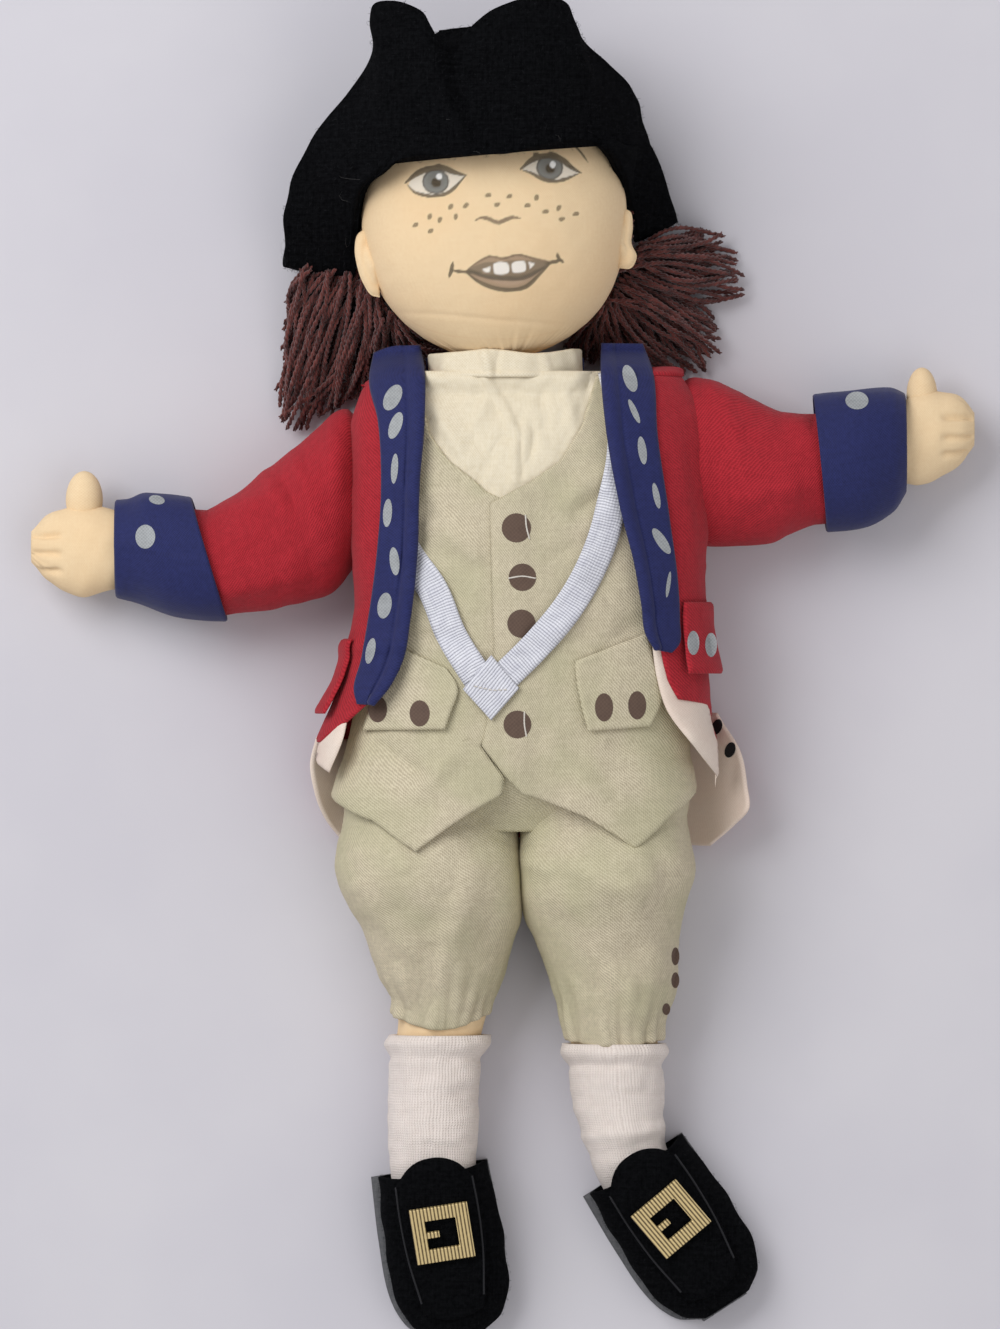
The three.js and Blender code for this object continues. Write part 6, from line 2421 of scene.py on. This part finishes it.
@dataclass
class Arm(Limb):
    """A sleeved arm with a turned-back cuff and a mitten hand."""

    cuff: Sequence[Sequence[float]] = ()
    cuff_floor: float = 1.2
    sleeve_end: float = -48.0
    thumb: Sequence[float] = ()
    slant: float = 0.35
    finger_rows: Sequence[float] = ()
    finger_run: Place = (0.0, 0.0)
    folds: Sequence[Fold] = ()
    armhole: float = 26.0
    dots: Sequence[Spot] = ()

    def build(self) -> None:
        """Make and dress every piece."""
        self._hand()
        self._sleeve()
        print_spots(f"cuff_{self.side}_dot", self.dots, [self._cuff()], SILVER_PAINT, self.body)

    def _hand(self) -> None:
        """The stuffed muslin arm, its stitched fingers and its thumb."""
        tip = self.core[0][0]
        hand = np.linspace(tip + 0.4, self.sleeve_end + 6, 70)
        y = np.concatenate([hand, np.linspace(self.sleeve_end + 8, -8.0, 16)])[:, None]
        angle = turns(110)
        base = self.to_doll(self.point(y, angle, 0.0))
        column = base[..., 0] / PIXEL + MIDDLE_PIXEL[0]
        row = MIDDLE_PIXEL[1] - base[..., 1] / PIXEL
        groove = np.zeros(base.shape[:2])
        start, end = sorted(self.finger_run)
        along = smooth((column - start) / 10) * smooth((end - column) / 10)
        for place in self.finger_rows:
            groove += bell(row - place, 3.2) * along
        top = np.clip(np.cos(angle) * 2, -1, 1)
        offset = -2.5 * smooth((y + 18) / 10) - 1.7 * groove * np.abs(top)
        offset = offset + 0.2 * ripple(column * 0.3, row * 0.3, 7, 91)
        offset = offset + 0.25 * ripple(angle * 12, y * 0.3, 4, 92) * smooth((tip + 10 - y) / 8)
        rings = self.to_doll(self.point(y, angle, offset - 0.15))
        at, side, lift, long_, wide, deep = self.thumb
        share = np.linspace(0.06, math.pi - 0.06, 26)[:, None]
        around = turns(36)
        digit = np.stack([
            side + long_ * np.cos(share) * np.ones_like(around),
            at + wide * np.sin(share) * np.cos(around),
            lift + deep * np.sin(share) * np.sin(around),
        ], axis=-1)
        arm = stuffed(f"arm_stuffing_{self.side}", rings)
        thumb = stuffed(f"thumb_{self.side}", self.to_doll(digit))
        select_only(arm, thumb)
        bpy.ops.object.join()
        outward(arm)
        finished(arm, MUSLIN_PLAIN, self.body, f"arm_{self.side}")

    def _sleeve(self) -> None:
        """The sleeve, with soft folds where it is pressed and where it is sewn."""
        y = np.linspace(self.sleeve_end, self.armhole, 104)[:, None]
        angle = turns(136)
        base = self.to_doll(self.form.point(y, angle, 0.0, 0.0))
        plan = base[..., 0], base[..., 1]
        facing = np.clip(np.cos(angle) * 2 + 1.2, 0, 1)
        wrinkle = 0.55 * ripple(*plan, 22, 93) + 0.2 * ripple(*plan, 8, 94)
        lift = folded(self.folds, *plan)
        offset = CLOTH_GAP + 0.2 + (np.maximum(wrinkle, -0.5) + lift) * facing
        tuck = -7.0 * smooth((y - self.armhole + 12) / 12) ** 1.5
        grid = self.to_doll(self.form.point(y, angle, np.maximum(offset, 0.1) + tuck, 0.0))
        sleeve = shell(f"sleeve_cloth_{self.side}", grid, hemmed(grid, COAT, 0.5, True), wrapped=True)
        seams = [np.array([0.0, place, self.hinge[1]]) for place in (self.armhole - 6, -4.0)]
        ends = [in_frame(self.to_doll(seam)) for seam in seams]
        bending(sleeve, RED_TWILL, f"sleeve_{self.side}")

    def _cuff(self) -> bpy.types.Object:
        """The deep navy cuff, cut on a slant and turned back over the sleeve."""
        form = Form(self.cuff, 2.1)
        low, high = self.cuff[0][0], self.cuff[-1][0]
        y = np.linspace(low, high, 60)[:, None]
        angle = turns(150)
        soft = 0.5 * ripple(angle * 18, y, 24, 95) + 0.12 * ripple(angle * 18, y, 7, 96)
        grid = form.point(y, angle, -LAPEL + soft * 0.6, self.cuff_floor)
        lean = self.slant * (grid[..., 0] - form.section(y)[0])
        grid[..., 1] += lean * smooth((y - low) / (high - low) * 1.4 + 0.1)
        thick = hemmed(grid, LAPEL, 0.5, True)
        cuff = shell(f"cuff_cloth_{self.side}", self.to_doll(grid), thick, wrapped=True)
        sewn(cuff, NAVY, self.body, "folded", [f"sleeve_cloth_{self.side}"], f"cuff_{self.side}")
        return cuff


@dataclass
class Leg(Limb):
    """A stuffed leg in khaki breeches and a knitted stocking."""

    hinge: tuple[float, float, float] = (-75.0, 29.6, 26.7)
    breeches_end: float = -127.5
    stocking_top: float = -131.0
    folds: Sequence[Fold] = ()
    sock_folds: Sequence[Fold] = ()
    middle: float = 6.4
    waist: float = -43.0
    hem_rise: float = 5.5
    shoe_mouth: float = -176.0
    dots: Sequence[Spot] = ()

    def build(self) -> None:
        """Make and dress every piece."""
        self._stuffing()
        breeches = self._breeches()
        self._stocking()
        print_spots("knee_dot", self.dots, [breeches], BUTTON_PAINT, self.body)

    def _stuffing(self) -> None:
        """The muslin leg."""
        angle = turns(120)
        toe = self.core[0][0]
        y = np.linspace(toe + 0.5, -62.0, 80)[:, None]
        offset = -0.2 + 0.2 * ripple(angle * 20, y, 20, 101) - 9.0 * smooth((y + 112) / 22)
        leg = stuffed(f"leg_stuffing_{self.side}", self.point(y, angle, offset))
        finished(leg, MUSLIN_PLAIN, self.body, f"leg_{self.side}")

    def _breeches(self) -> bpy.types.Object:
        """One leg of the breeches, with its folds and its pinched hem."""
        y = np.linspace(self.breeches_end, self.waist, 110)[:, None]
        angle = turns(150)
        base = self.form.point(y, angle, 0.0, 0.0)
        x = base[..., 0]
        facing = np.clip(np.cos(angle) * 2 + 1.3, 0, 1)
        wrinkle = 0.6 * ripple(x, base[..., 1], 26, 102) + 0.22 * ripple(x, base[..., 1], 9, 103)
        lift = folded(self.folds, x, base[..., 1])
        near_hem = smooth((self.breeches_end + 34 - y) / 34)
        gather = 0.9 * ripple(angle * 24, y * 0.12, 6.5, 104) * near_hem
        tuck = -3.2 * smooth((y + 72) / 24)
        offset = CLOTH_GAP + 0.5 + (np.maximum(wrinkle, -0.6) + lift) * facing + gather
        grid = self.form.point(y, angle, np.maximum(offset, 0.1) + tuck, SHIRT_FLOOR - 0.9)
        grid[..., 1] += self.hem_rise * np.sin(angle) ** 2 * near_hem ** 2
        reach = smooth((base[..., 1] + 96) / 18)
        inward = (x - self.middle) * (1 if self.side == "right" else -1)
        close = bell(inward, 9) * reach
        grid[..., 0] += (self.middle - grid[..., 0]) * close * 0.75
        thick = hemmed(grid, MUSLIN, 0.5, True)
        breeches = shell(f"breeches_leg_{self.side}", grid, thick, wrapped=True)
        return bending(breeches, KHAKI, f"breeches_{self.side}")

    def _stocking(self) -> None:
        """The knitted stocking, rolled at its top and creased at the ankle."""
        toe = self.core[0][0]
        top = self.stocking_top + 1.4
        y = np.linspace(toe - 0.9, top, 124)[:, None]
        angle = turns(108)
        base = self.point(y, angle, 0.0)
        x = base[..., 0]
        facing = np.clip(np.cos(angle) * 2 + 1.3, 0, 1)
        rolled = top - 3.0 + 0.5 * ripple(angle * 16, 0 * y, 20, 107)
        roll = 1.7 * bell(y - rolled, 2.6)
        roll = roll - 0.7 * bell(y - rolled + 4.6, 1.5)
        roll = roll + 0.9 * smooth((y - top + 6) / 5) * np.sin(angle) ** 2
        soft = 0.5 * ripple(x, base[..., 1], 17, 105) + 0.2 * ripple(x, base[..., 1], 6, 106)
        lift = (folded(self.sock_folds, x, base[..., 1]) + soft) * facing
        open_ = smooth((y - self.shoe_mouth) / 6)
        offset = 1.2 + CLOTH_GAP + (np.maximum(lift, -0.5) * open_) + roll
        outer = self.point(y, angle, offset)
        inner = self.point(np.maximum(y, toe - CLOTH_GAP), angle, CLOTH_GAP, 1.2)
        stocking = cup(f"stocking_knit_{self.side}", outer, inner)
        sewn(stocking, STOCKING_KNIT, self.body, "stretched", [f"leg_stuffing_{self.side}"],
             f"stocking_{self.side}")


def box(name: str, size: Sequence[float], place: Sequence[float]) -> bpy.types.Object:
    """A box of a given size round a place, in millimetres."""
    bpy.ops.object.select_all(action="DESELECT")
    bpy.ops.mesh.primitive_cube_add(size=1.0, calc_uvs=False)
    made = bpy.context.active_object
    made.name = made.data.name = name
    bpy.ops.transform.resize(value=size)
    bpy.ops.transform.translate(value=place)
    bpy.ops.object.transform_apply(location=True, rotation=True, scale=True)
    return made


def carve(body: bpy.types.Object, block: bpy.types.Object, operation: str) -> None:
    """Add a block to a body or cut it away, and remove the block.

    Args:
        body: What is changed.
        block: What is added or cut away.
        operation: UNION or DIFFERENCE.
    """
    change = body.modifiers.new("carve", "BOOLEAN")
    change.operation, change.object, change.solver = operation, block, "EXACT"
    select_only(body)
    bpy.ops.object.modifier_apply(modifier=change.name)
    bpy.data.objects.remove(block)


@dataclass
class Shoe:
    """A felt shoe with its sole, its tongue and its gilt buckle."""

    side: str
    place: Place
    turn: float
    buckle_turn: float
    width: float = 20.6
    hole: float = 10.8
    thick: float = 1.6
    prong: float = 2.2
    buckle_at: float = -22.0
    slope: float = 19.5
    form: Form = field(default_factory=lambda: Form([
        (-59, 0, 8, 9, 6), (-54, 0, 8.5, 16, 9.6), (-42, 0, 10.5, 20.3, 11.6),
        (-22, 0, 13, 20.6, 15.1), (-8, 0, 15.5, 19.9, 18.9), (0, 0, 16.5, 19.4, 20.2),
    ], 2.3))

    @property
    def body(self) -> str:
        """The body that the shoe moves with."""
        return f"shoe_{self.side}_body"

    def to_doll(self, points: Array) -> Array:
        """Points of the shoe's own frame in the frame of the doll."""
        return turned_in_plan(points, self.place, self.turn)

    def build(self) -> None:
        """Make and dress every piece."""
        upper = self._upper()
        self._sole()
        tongue = self._tongue()
        self._seam([upper, tongue])
        self._buckle()
        chance = np.random.default_rng(111 if self.side == "right" else 112)
        # The fibres are coloured lighter than the felt, a painted highlight on the fuzz.
        fuzz = fibres(f"shoe_fuzz_{self.side}", upper, 1900, chance, lengths=(0.6, 1.7), radius=0.07)
        finished(fuzz, LIT_BLACK_FIBRE, self.body)

    def _upper(self) -> bpy.types.Object:
        """The felt upper."""
        toe, inner_toe = -59.0, -57.4
        y = np.linspace(toe, 0, 70)[:, None]
        angle = turns(120)
        soft = 0.4 * ripple(angle * 18, y, 18, 113)
        wide = self.form.section(y)[2]
        dip = -1.5 * smooth((y + 9) / 9) * smooth((np.cos(angle) - 0.2) / 0.8)
        outer = self.form.point(y, angle, soft, FELT + CLOTH_GAP)
        inner_y = inner_toe + (y - toe) * (inner_toe / toe)
        inner = self.form.point(inner_y, angle, soft - SHOE_FELT, FELT + CLOTH_GAP + SHOE_FELT)
        for grid in (outer, inner):
            grid[..., 1] += dip * (wide > 0)
        upper = cup(f"shoe_upper_felt_{self.side}", self.to_doll(outer), self.to_doll(inner))
        sewn(upper, BLACK_FELT, self.body, "stretched",
             [f"shoe_sole_felt_{self.side}"], f"shoe_upper_{self.side}")
        return upper

    def _sole(self) -> None:
        """The grey felt sole."""
        y = np.linspace(-60, 0, 60)[:, None]
        u = np.linspace(-1, 1, 34)[None, :]
        wide = self.form.section(y)[2] + 1.3 * np.sqrt(np.clip((y + 60.01) / 60, 0, 1))
        x = wide * u - 1.2
        plan = np.stack([x, y + 0 * u, 0 * x], axis=-1)
        thick = hemmed(plan, FELT, 0.55, run=3.0)
        sole = shell(f"shoe_sole_felt_{self.side}", self.to_doll(plan), thick)
        sewn(sole, SOLE_FELT, self.body, "laid", ["floor"], f"shoe_sole_{self.side}")

    def _tongue(self) -> bpy.types.Object:
        """The felt tongue with its rounded top."""
        u = np.linspace(0, 1, 54)[None, :]
        v = np.linspace(0, 1, 70)[:, None]
        low = -50 - 3 * np.sin(u * math.pi)
        high = -6 + 10.5 * np.sin(u * math.pi) ** 0.75
        y = low * (1 - v) + high * v
        angle = np.radians(-40 + 80 * u) * (0.75 + 0.25 * smooth((y + 50) / 30))
        grid = self.form.point(y, angle, LAYER_GAP + 0.2 * ripple(u * 30, y, 12, 115), 0.0)
        thick = hemmed(grid, SHOE_FELT, 0.4, run=2.5)
        tongue = shell(f"shoe_tongue_felt_{self.side}", self.to_doll(grid), thick)
        sewn(tongue, BLACK_FELT, self.body, "laid",
             [f"shoe_upper_felt_{self.side}"], f"shoe_tongue_{self.side}")
        return tongue

    def _seam(self, cloths: Sequence[bpy.types.Object]) -> None:
        """Dark stitching beside the tongue."""
        for number, way in enumerate((-1, 1), 1):
            run = self.to_doll(np.array([
                (way * 13.5, -4, 0), (way * 13.8, -14, 0), (way * 13.2, -30, 0), (way * 11, -46, 0),
            ], float))
            name = f"shoe_seam_{self.side}_{number}"
            finished(tube(name, curve(run, 60), 0.35, cloths, lift=0.15), BLACK_PAINT, self.body)

    def _buckle(self) -> None:
        """The square buckle, cut from a plate with a hole, its corners bevelled."""
        middle = self.thick / 2
        left, tip = -self.hole / 2 - 1, 4.5 - self.hole / 2
        size = (self.width, self.width, self.thick)
        buckle = box(f"buckle_frame_{self.side}", size, (0, 0, middle))
        carve(buckle, box("hole", (self.hole, self.hole, 3 * self.thick), (0, 0, 0)), "DIFFERENCE")
        prong = box("prong", (tip - left, self.prong, self.thick), ((tip + left) / 2, 0, middle))
        carve(buckle, prong, "UNION")
        bevel = buckle.modifiers.new("soft_edges", "BEVEL")
        bevel.width, bevel.segments, bevel.limit_method = 0.35, 3, "ANGLE"
        bpy.ops.object.modifier_apply(modifier=bevel.name)
        pattern = buckle.data.uv_layers.new(name="cloth")
        for corner in buckle.data.loops:
            place = buckle.data.vertices[corner.vertex_index].co
            pattern.data[corner.index].uv = (place.x * METRE, place.y * METRE)
        _, lift, _, deep = (float(value) for value in self.form.section(np.array(self.buckle_at)))
        rise = lift + deep + LAYER_GAP + SHOE_FELT + 1.0
        spin = Matrix.Rotation(math.radians(self.buckle_turn), 4, "Z")
        tilt = Matrix.Rotation(math.radians(self.slope), 4, "X")
        local = Matrix.Translation((0, self.buckle_at, rise)) @ spin @ tilt
        turned = Matrix.Rotation(math.radians(self.turn), 4, "Z")
        shoe = Matrix.Translation((self.place[0] + SHIFT[0], self.place[1] + SHIFT[1], 0))
        placed = shoe @ turned @ local
        buckle.data.transform(Matrix.Scale(METRE, 4) @ placed)
        finished(buckle, GILT, self.body, f"buckle_{self.side}")


def seat() -> None:
    """The top of the breeches round the body, under the waistcoat."""
    y = np.linspace(-58, -6, 46)[:, None]
    angle = turns(130)
    offset = SHIRT_LAYER + 0.3 * ripple(angle * 40, y, 20, 121)
    grid = TORSO_FORM.point(y, angle, offset, SHIRT_FLOOR)
    under = smooth((-37 - y) / 23)
    middle_x, middle_z = TORSO_FORM.section(y)[:2]
    grid[..., 0] += (middle_x - grid[..., 0]) * 0.5 * under
    grid[..., 2] += (middle_z - grid[..., 2]) * 0.46 * under
    piece = shell("breeches_seat_cloth", grid, hemmed(grid, MUSLIN, 0.5, True), wrapped=True)
    sewn(piece, KHAKI, "torso_body", "stretched", ["torso_stuffing"], "breeches_seat")


RIGHT_ARM = Arm(
    "right", "arm_right_body",
    [(-90, 5.5, 16, 5, 4), (-84, 6, 16.5, 11.5, 8), (-72, 7, 17, 16.4, 11), (-60, 6.5, 18, 14, 11.5),
     (-52, 8, 19, 13.5, 12), (-36, 10.5, 20.5, 16.6, 16.4), (-22, 10.3, 21, 17.6, 17.4),
     (0, 0, 22, 24.8, 20.4), (20.9, -13, 22, 30.4, 20.4)],
    hinge=(0.0, 22.0, 20.4), place=(-75.5, 47.0), turn=-90.0,
    cuff=[(-60, 6.2, 18.5, 17.2, 15), (-54, 7, 19, 18.5, 17), (-44, 8.5, 20.4, 22, 20.4),
          (-27, 10, 21.6, 21.8, 21.6)],
    sleeve_end=-48.0, thumb=(-71, -11, 17, 10, 6.5, 6.5), slant=0.3,
    finger_rows=(535, 554, 572), finger_run=(26, 66),
    dots=(((146, 537), (10, 12), 0), ((157, 500), (8, 4.5), -12)),
    folds=(
        Fold((210, 520), (290, 500), 3.4, 1.1), Fold((214, 560), (300, 540), 4.0, -0.9),
        Fold((220, 590), (310, 570), 3.2, 0.9), Fold((260, 470), (300, 540), 3.2, 0.8),
        Fold((290, 452), (330, 560), 3.6, 0.9),
    ),
)
LEFT_ARM = Arm(
    "left", "arm_left_body",
    [(-71.8, 18, 16, 5, 4), (-67, 17.2, 16.5, 11.6, 8), (-59, 15.8, 17, 15.2, 10.5),
     (-52, 14.5, 17.6, 16.6, 11), (-46.5, 13, 18.3, 14.6, 11.5), (-40, 9.5, 19, 13.6, 12),
     (-26, 5.5, 21, 16.5, 16.4), (-13, 3, 21.8, 18.2, 18), (0, 0.8, 22, 20.8, 20.4),
     (20.9, 6, 22, 27.4, 20.4)],
    hinge=(0.0, 22.0, 20.4), place=(94.1, 65.0), turn=90.0,
    cuff=[(-47, 13, 18.5, 17.5, 15.5), (-42, 10.5, 19.5, 22, 18.6), (-30, 7, 21.5, 24, 21.5),
          (-17, 5.7, 22, 24.3, 22)],
    sleeve_end=-36.0, armhole=37.0, thumb=(-53, 29.5, 17, 9.8, 5.4, 6), slant=0.1,
    finger_rows=(417, 438, 455), finger_run=(938, 978), dots=(((856, 401), (11.5, 9), 0),),
    folds=(
        Fold((720, 400), (810, 430), 3.2, 1.1), Fold((720, 440), (820, 460), 4.0, -0.9),
        Fold((730, 500), (820, 480), 3.4, 1.0), Fold((716, 384), (760, 520), 3.4, 0.9),
    ),
)
RIGHT_LEG = Leg(
    "right", "leg_right_body",
    [(-224, -17, 10.5, 8, 3.5), (-217.5, -17.9, 12.2, 12.5, 5.6), (-197.7, -21.1, 15.3, 13, 8.6),
     (-177, -24.2, 19.1, 13.4, 12), (-165, -24.3, 18, 13.8, 13.6), (-150, -24, 16.2, 14.6, 14.6),
     (-132, -22.5, 17, 14.8, 14.8), (-122, -21, 18.6, 15.6, 15.6), (-110, -21, 21, 19.3, 18),
     (-90, -22, 26, 26, 23), (-75, -26, 29.6, 29.8, 26.7), (-48, -27.2, 29.6, 30, 26.7)],
    breeches_end=-127.5, stocking_top=-131.0,
    folds=(
        Fold((360, 880), (420, 960), 4.0, 1.1), Fold((400, 840), (470, 900), 4.4, -1.0),
        Fold((470, 860), (440, 990), 3.8, 1.0), Fold((430, 940), (428, 1008), 2.6, -1.5),
        Fold((404, 960), (412, 1014), 2.4, 0.9), Fold((490, 900), (470, 1000), 3.0, -0.8),
        Fold((478, 820), (524, 850), 3.0, -1.2), Fold((380, 930), (400, 1006), 3.0, 0.8),
    ),
    sock_folds=(
        Fold((395, 1056), (470, 1050), 2.2, 0.5), Fold((400, 1130), (480, 1150), 2.6, 0.6),
        Fold((392, 1160), (470, 1140), 2.4, -0.6), Fold((404, 1090), (476, 1078), 2.6, 0.5),
    ),
)
LEFT_LEG = Leg(
    "left", "leg_left_body",
    [(-216, 70.5, 10.5, 7, 3.5), (-209.2, 66.4, 12.2, 12, 5.6), (-192.5, 55.5, 15.3, 13.2, 8.6),
     (-177, 46.5, 19.1, 12.7, 12), (-165, 42.8, 18, 12.8, 13.4), (-150, 40.5, 16.6, 14.8, 14.8),
     (-135, 39.5, 17.2, 15.2, 15.2), (-127, 38.5, 18.6, 16.2, 16), (-112, 38.5, 21, 19.8, 18.5),
     (-90, 36.3, 26, 25.6, 23), (-75, 36.8, 29.6, 28, 26.7), (-48, 36.6, 29.6, 29.8, 26.7)],
    breeches_end=-133.4, stocking_top=-134.0, hem_rise=2.2,
    dots=(((675, 956), (4, 9), 0), ((675, 980), (4, 8), 0), ((666, 1009), (4, 6), 0)),
    folds=(
        Fold((560, 850), (640, 900), 4.2, 1.0), Fold((550, 900), (600, 990), 4.0, -0.9),
        Fold((620, 880), (660, 980), 3.8, 1.0), Fold((590, 940), (650, 1030), 3.0, 0.9),
        Fold((560, 960), (580, 1040), 2.6, -0.8), Fold((650, 840), (680, 940), 3.6, -0.8),
        Fold((520, 850), (560, 870), 3.0, 0.9),
    ),
    sock_folds=(
        Fold((566, 1060), (650, 1052), 2.4, 0.6), Fold((572, 1140), (662, 1128), 2.4, 0.9),
        Fold((574, 1162), (668, 1142), 2.2, -0.8), Fold((570, 1096), (652, 1100), 2.8, -0.5),
    ),
)
TAILS = (
    CoatTail(
        "right", [(310, 738), (305, 764), (309, 790), (321, 816), (338, 838)],
        curl_start=44.0, rise=23.0, seed=41,
    ),
    CoatTail(
        "left", [(722, 712), (737, 734), (752, 784), (754, 808), (738, 826), (714, 846)],
        curl_start=56.0, rise=25.0, seed=47, inner=[(514, 732), (514, 838)],
        dots=(((717, 727), (5, 8), -20), ((730, 750), (5, 8), -20)),
    ),
)


def doll() -> None:
    """Build every piece of the doll."""
    TorsoBody().build()
    seat()
    Waistcoat().build()
    Belt().build()
    Coat().build()
    for tail in TAILS:
        tail.build()
    Head().build()
    Hair().build()
    Hat().build()
    for limb in (RIGHT_ARM, LEFT_ARM, RIGHT_LEG, LEFT_LEG):
        limb.build()
    Shoe("right", place=(-24.5, -176.6), turn=9.0, buckle_turn=0.0).build()
    Shoe("left", place=(46.8, -175.0), turn=33.0, buckle_turn=7.0).build()


@dataclass(frozen=True)
class Lamp:
    """A soft square lamp aimed at the doll."""

    name: str
    place: tuple[float, float, float]
    size: float
    power: float
    colour: Colour

    def light(self) -> None:
        """Place the lamp."""
        data = bpy.data.lights.new(self.name, "AREA")
        data.shape = "SQUARE"
        data.size, data.energy, data.color = self.size, self.power, self.colour
        lamp = bpy.data.objects.new(self.name, data)
        lamp.location = self.place
        aim = Vector((0, 0, 0.02)) - Vector(self.place)
        lamp.rotation_euler = aim.to_track_quat("-Z", "Y").to_euler()
        bpy.context.scene.collection.objects.link(lamp)


@dataclass(frozen=True)
class BoardFinish(Finish):
    """Plain pale board with a faint mottle."""

    def surface(self, graph: Graph) -> dict:
        """The mottle between the two colours."""
        cloud = graph.noise(graph.add("TexCoord").outputs["Object"], 9.0, 4.0)
        colour = graph.mix(graph.ranged(cloud, 0.3, 0.7), self.shade, self.colour)
        return {"Base Color": colour, "Roughness": 0.75}


FLOOR_BOARD = BoardFinish("floor_board", (0.64, 0.62, 0.65), (0.60, 0.58, 0.62))


@dataclass
class Studio:
    """A pale floor, soft lamps and a camera straight above."""

    distance: float = 5.0
    plane: float = 0.025
    middle: Place = (-0.00099, 0.00235)
    frame_height: float = 0.46515
    lamps: Sequence[Lamp] = (
        Lamp("window", (-0.9, 0.75, 1.35), 1.1, 20.0, (0.97, 0.98, 1.0)),
        Lamp("room", (0.7, -0.5, 1.5), 1.4, 5.0, (1.0, 0.97, 0.94)),
    )

    def build(self) -> None:
        """Set up floor, lamps, world and camera."""
        bpy.ops.object.select_all(action="DESELECT")
        bpy.ops.mesh.primitive_plane_add(size=4.0, location=(0, 0, -0.0005))
        floor = bpy.context.object
        floor.name = "floor"
        FLOOR_BOARD.dress(floor)
        for lamp in self.lamps:
            lamp.light()
        world = bpy.data.worlds.new("room_light")
        world.use_nodes = True
        background = world.node_tree.nodes["Background"]
        background.inputs["Color"].default_value = (0.95, 0.96, 1.0, 1.0)
        background.inputs["Strength"].default_value = 0.5
        bpy.context.scene.world = world
        bpy.context.scene.view_settings.view_transform = "Standard"
        self._camera()

    def _camera(self) -> None:
        """A long lens straight above, framing what the photograph frames."""
        data = bpy.data.cameras.new("above")
        data.sensor_fit = "VERTICAL"
        data.sensor_height = 24.0
        data.lens = 24.0 * self.distance / self.frame_height
        camera = bpy.data.objects.new("above", data)
        camera.location = (*self.middle, self.plane + self.distance)
        bpy.context.scene.collection.objects.link(camera)
        bpy.context.scene.camera = camera


def main() -> None:
    """Build the doll and the studio."""
    logging.basicConfig(level=logging.INFO, format="%(message)s")
    doll()
    Studio().build()


if __name__ == "__main__":
    main()
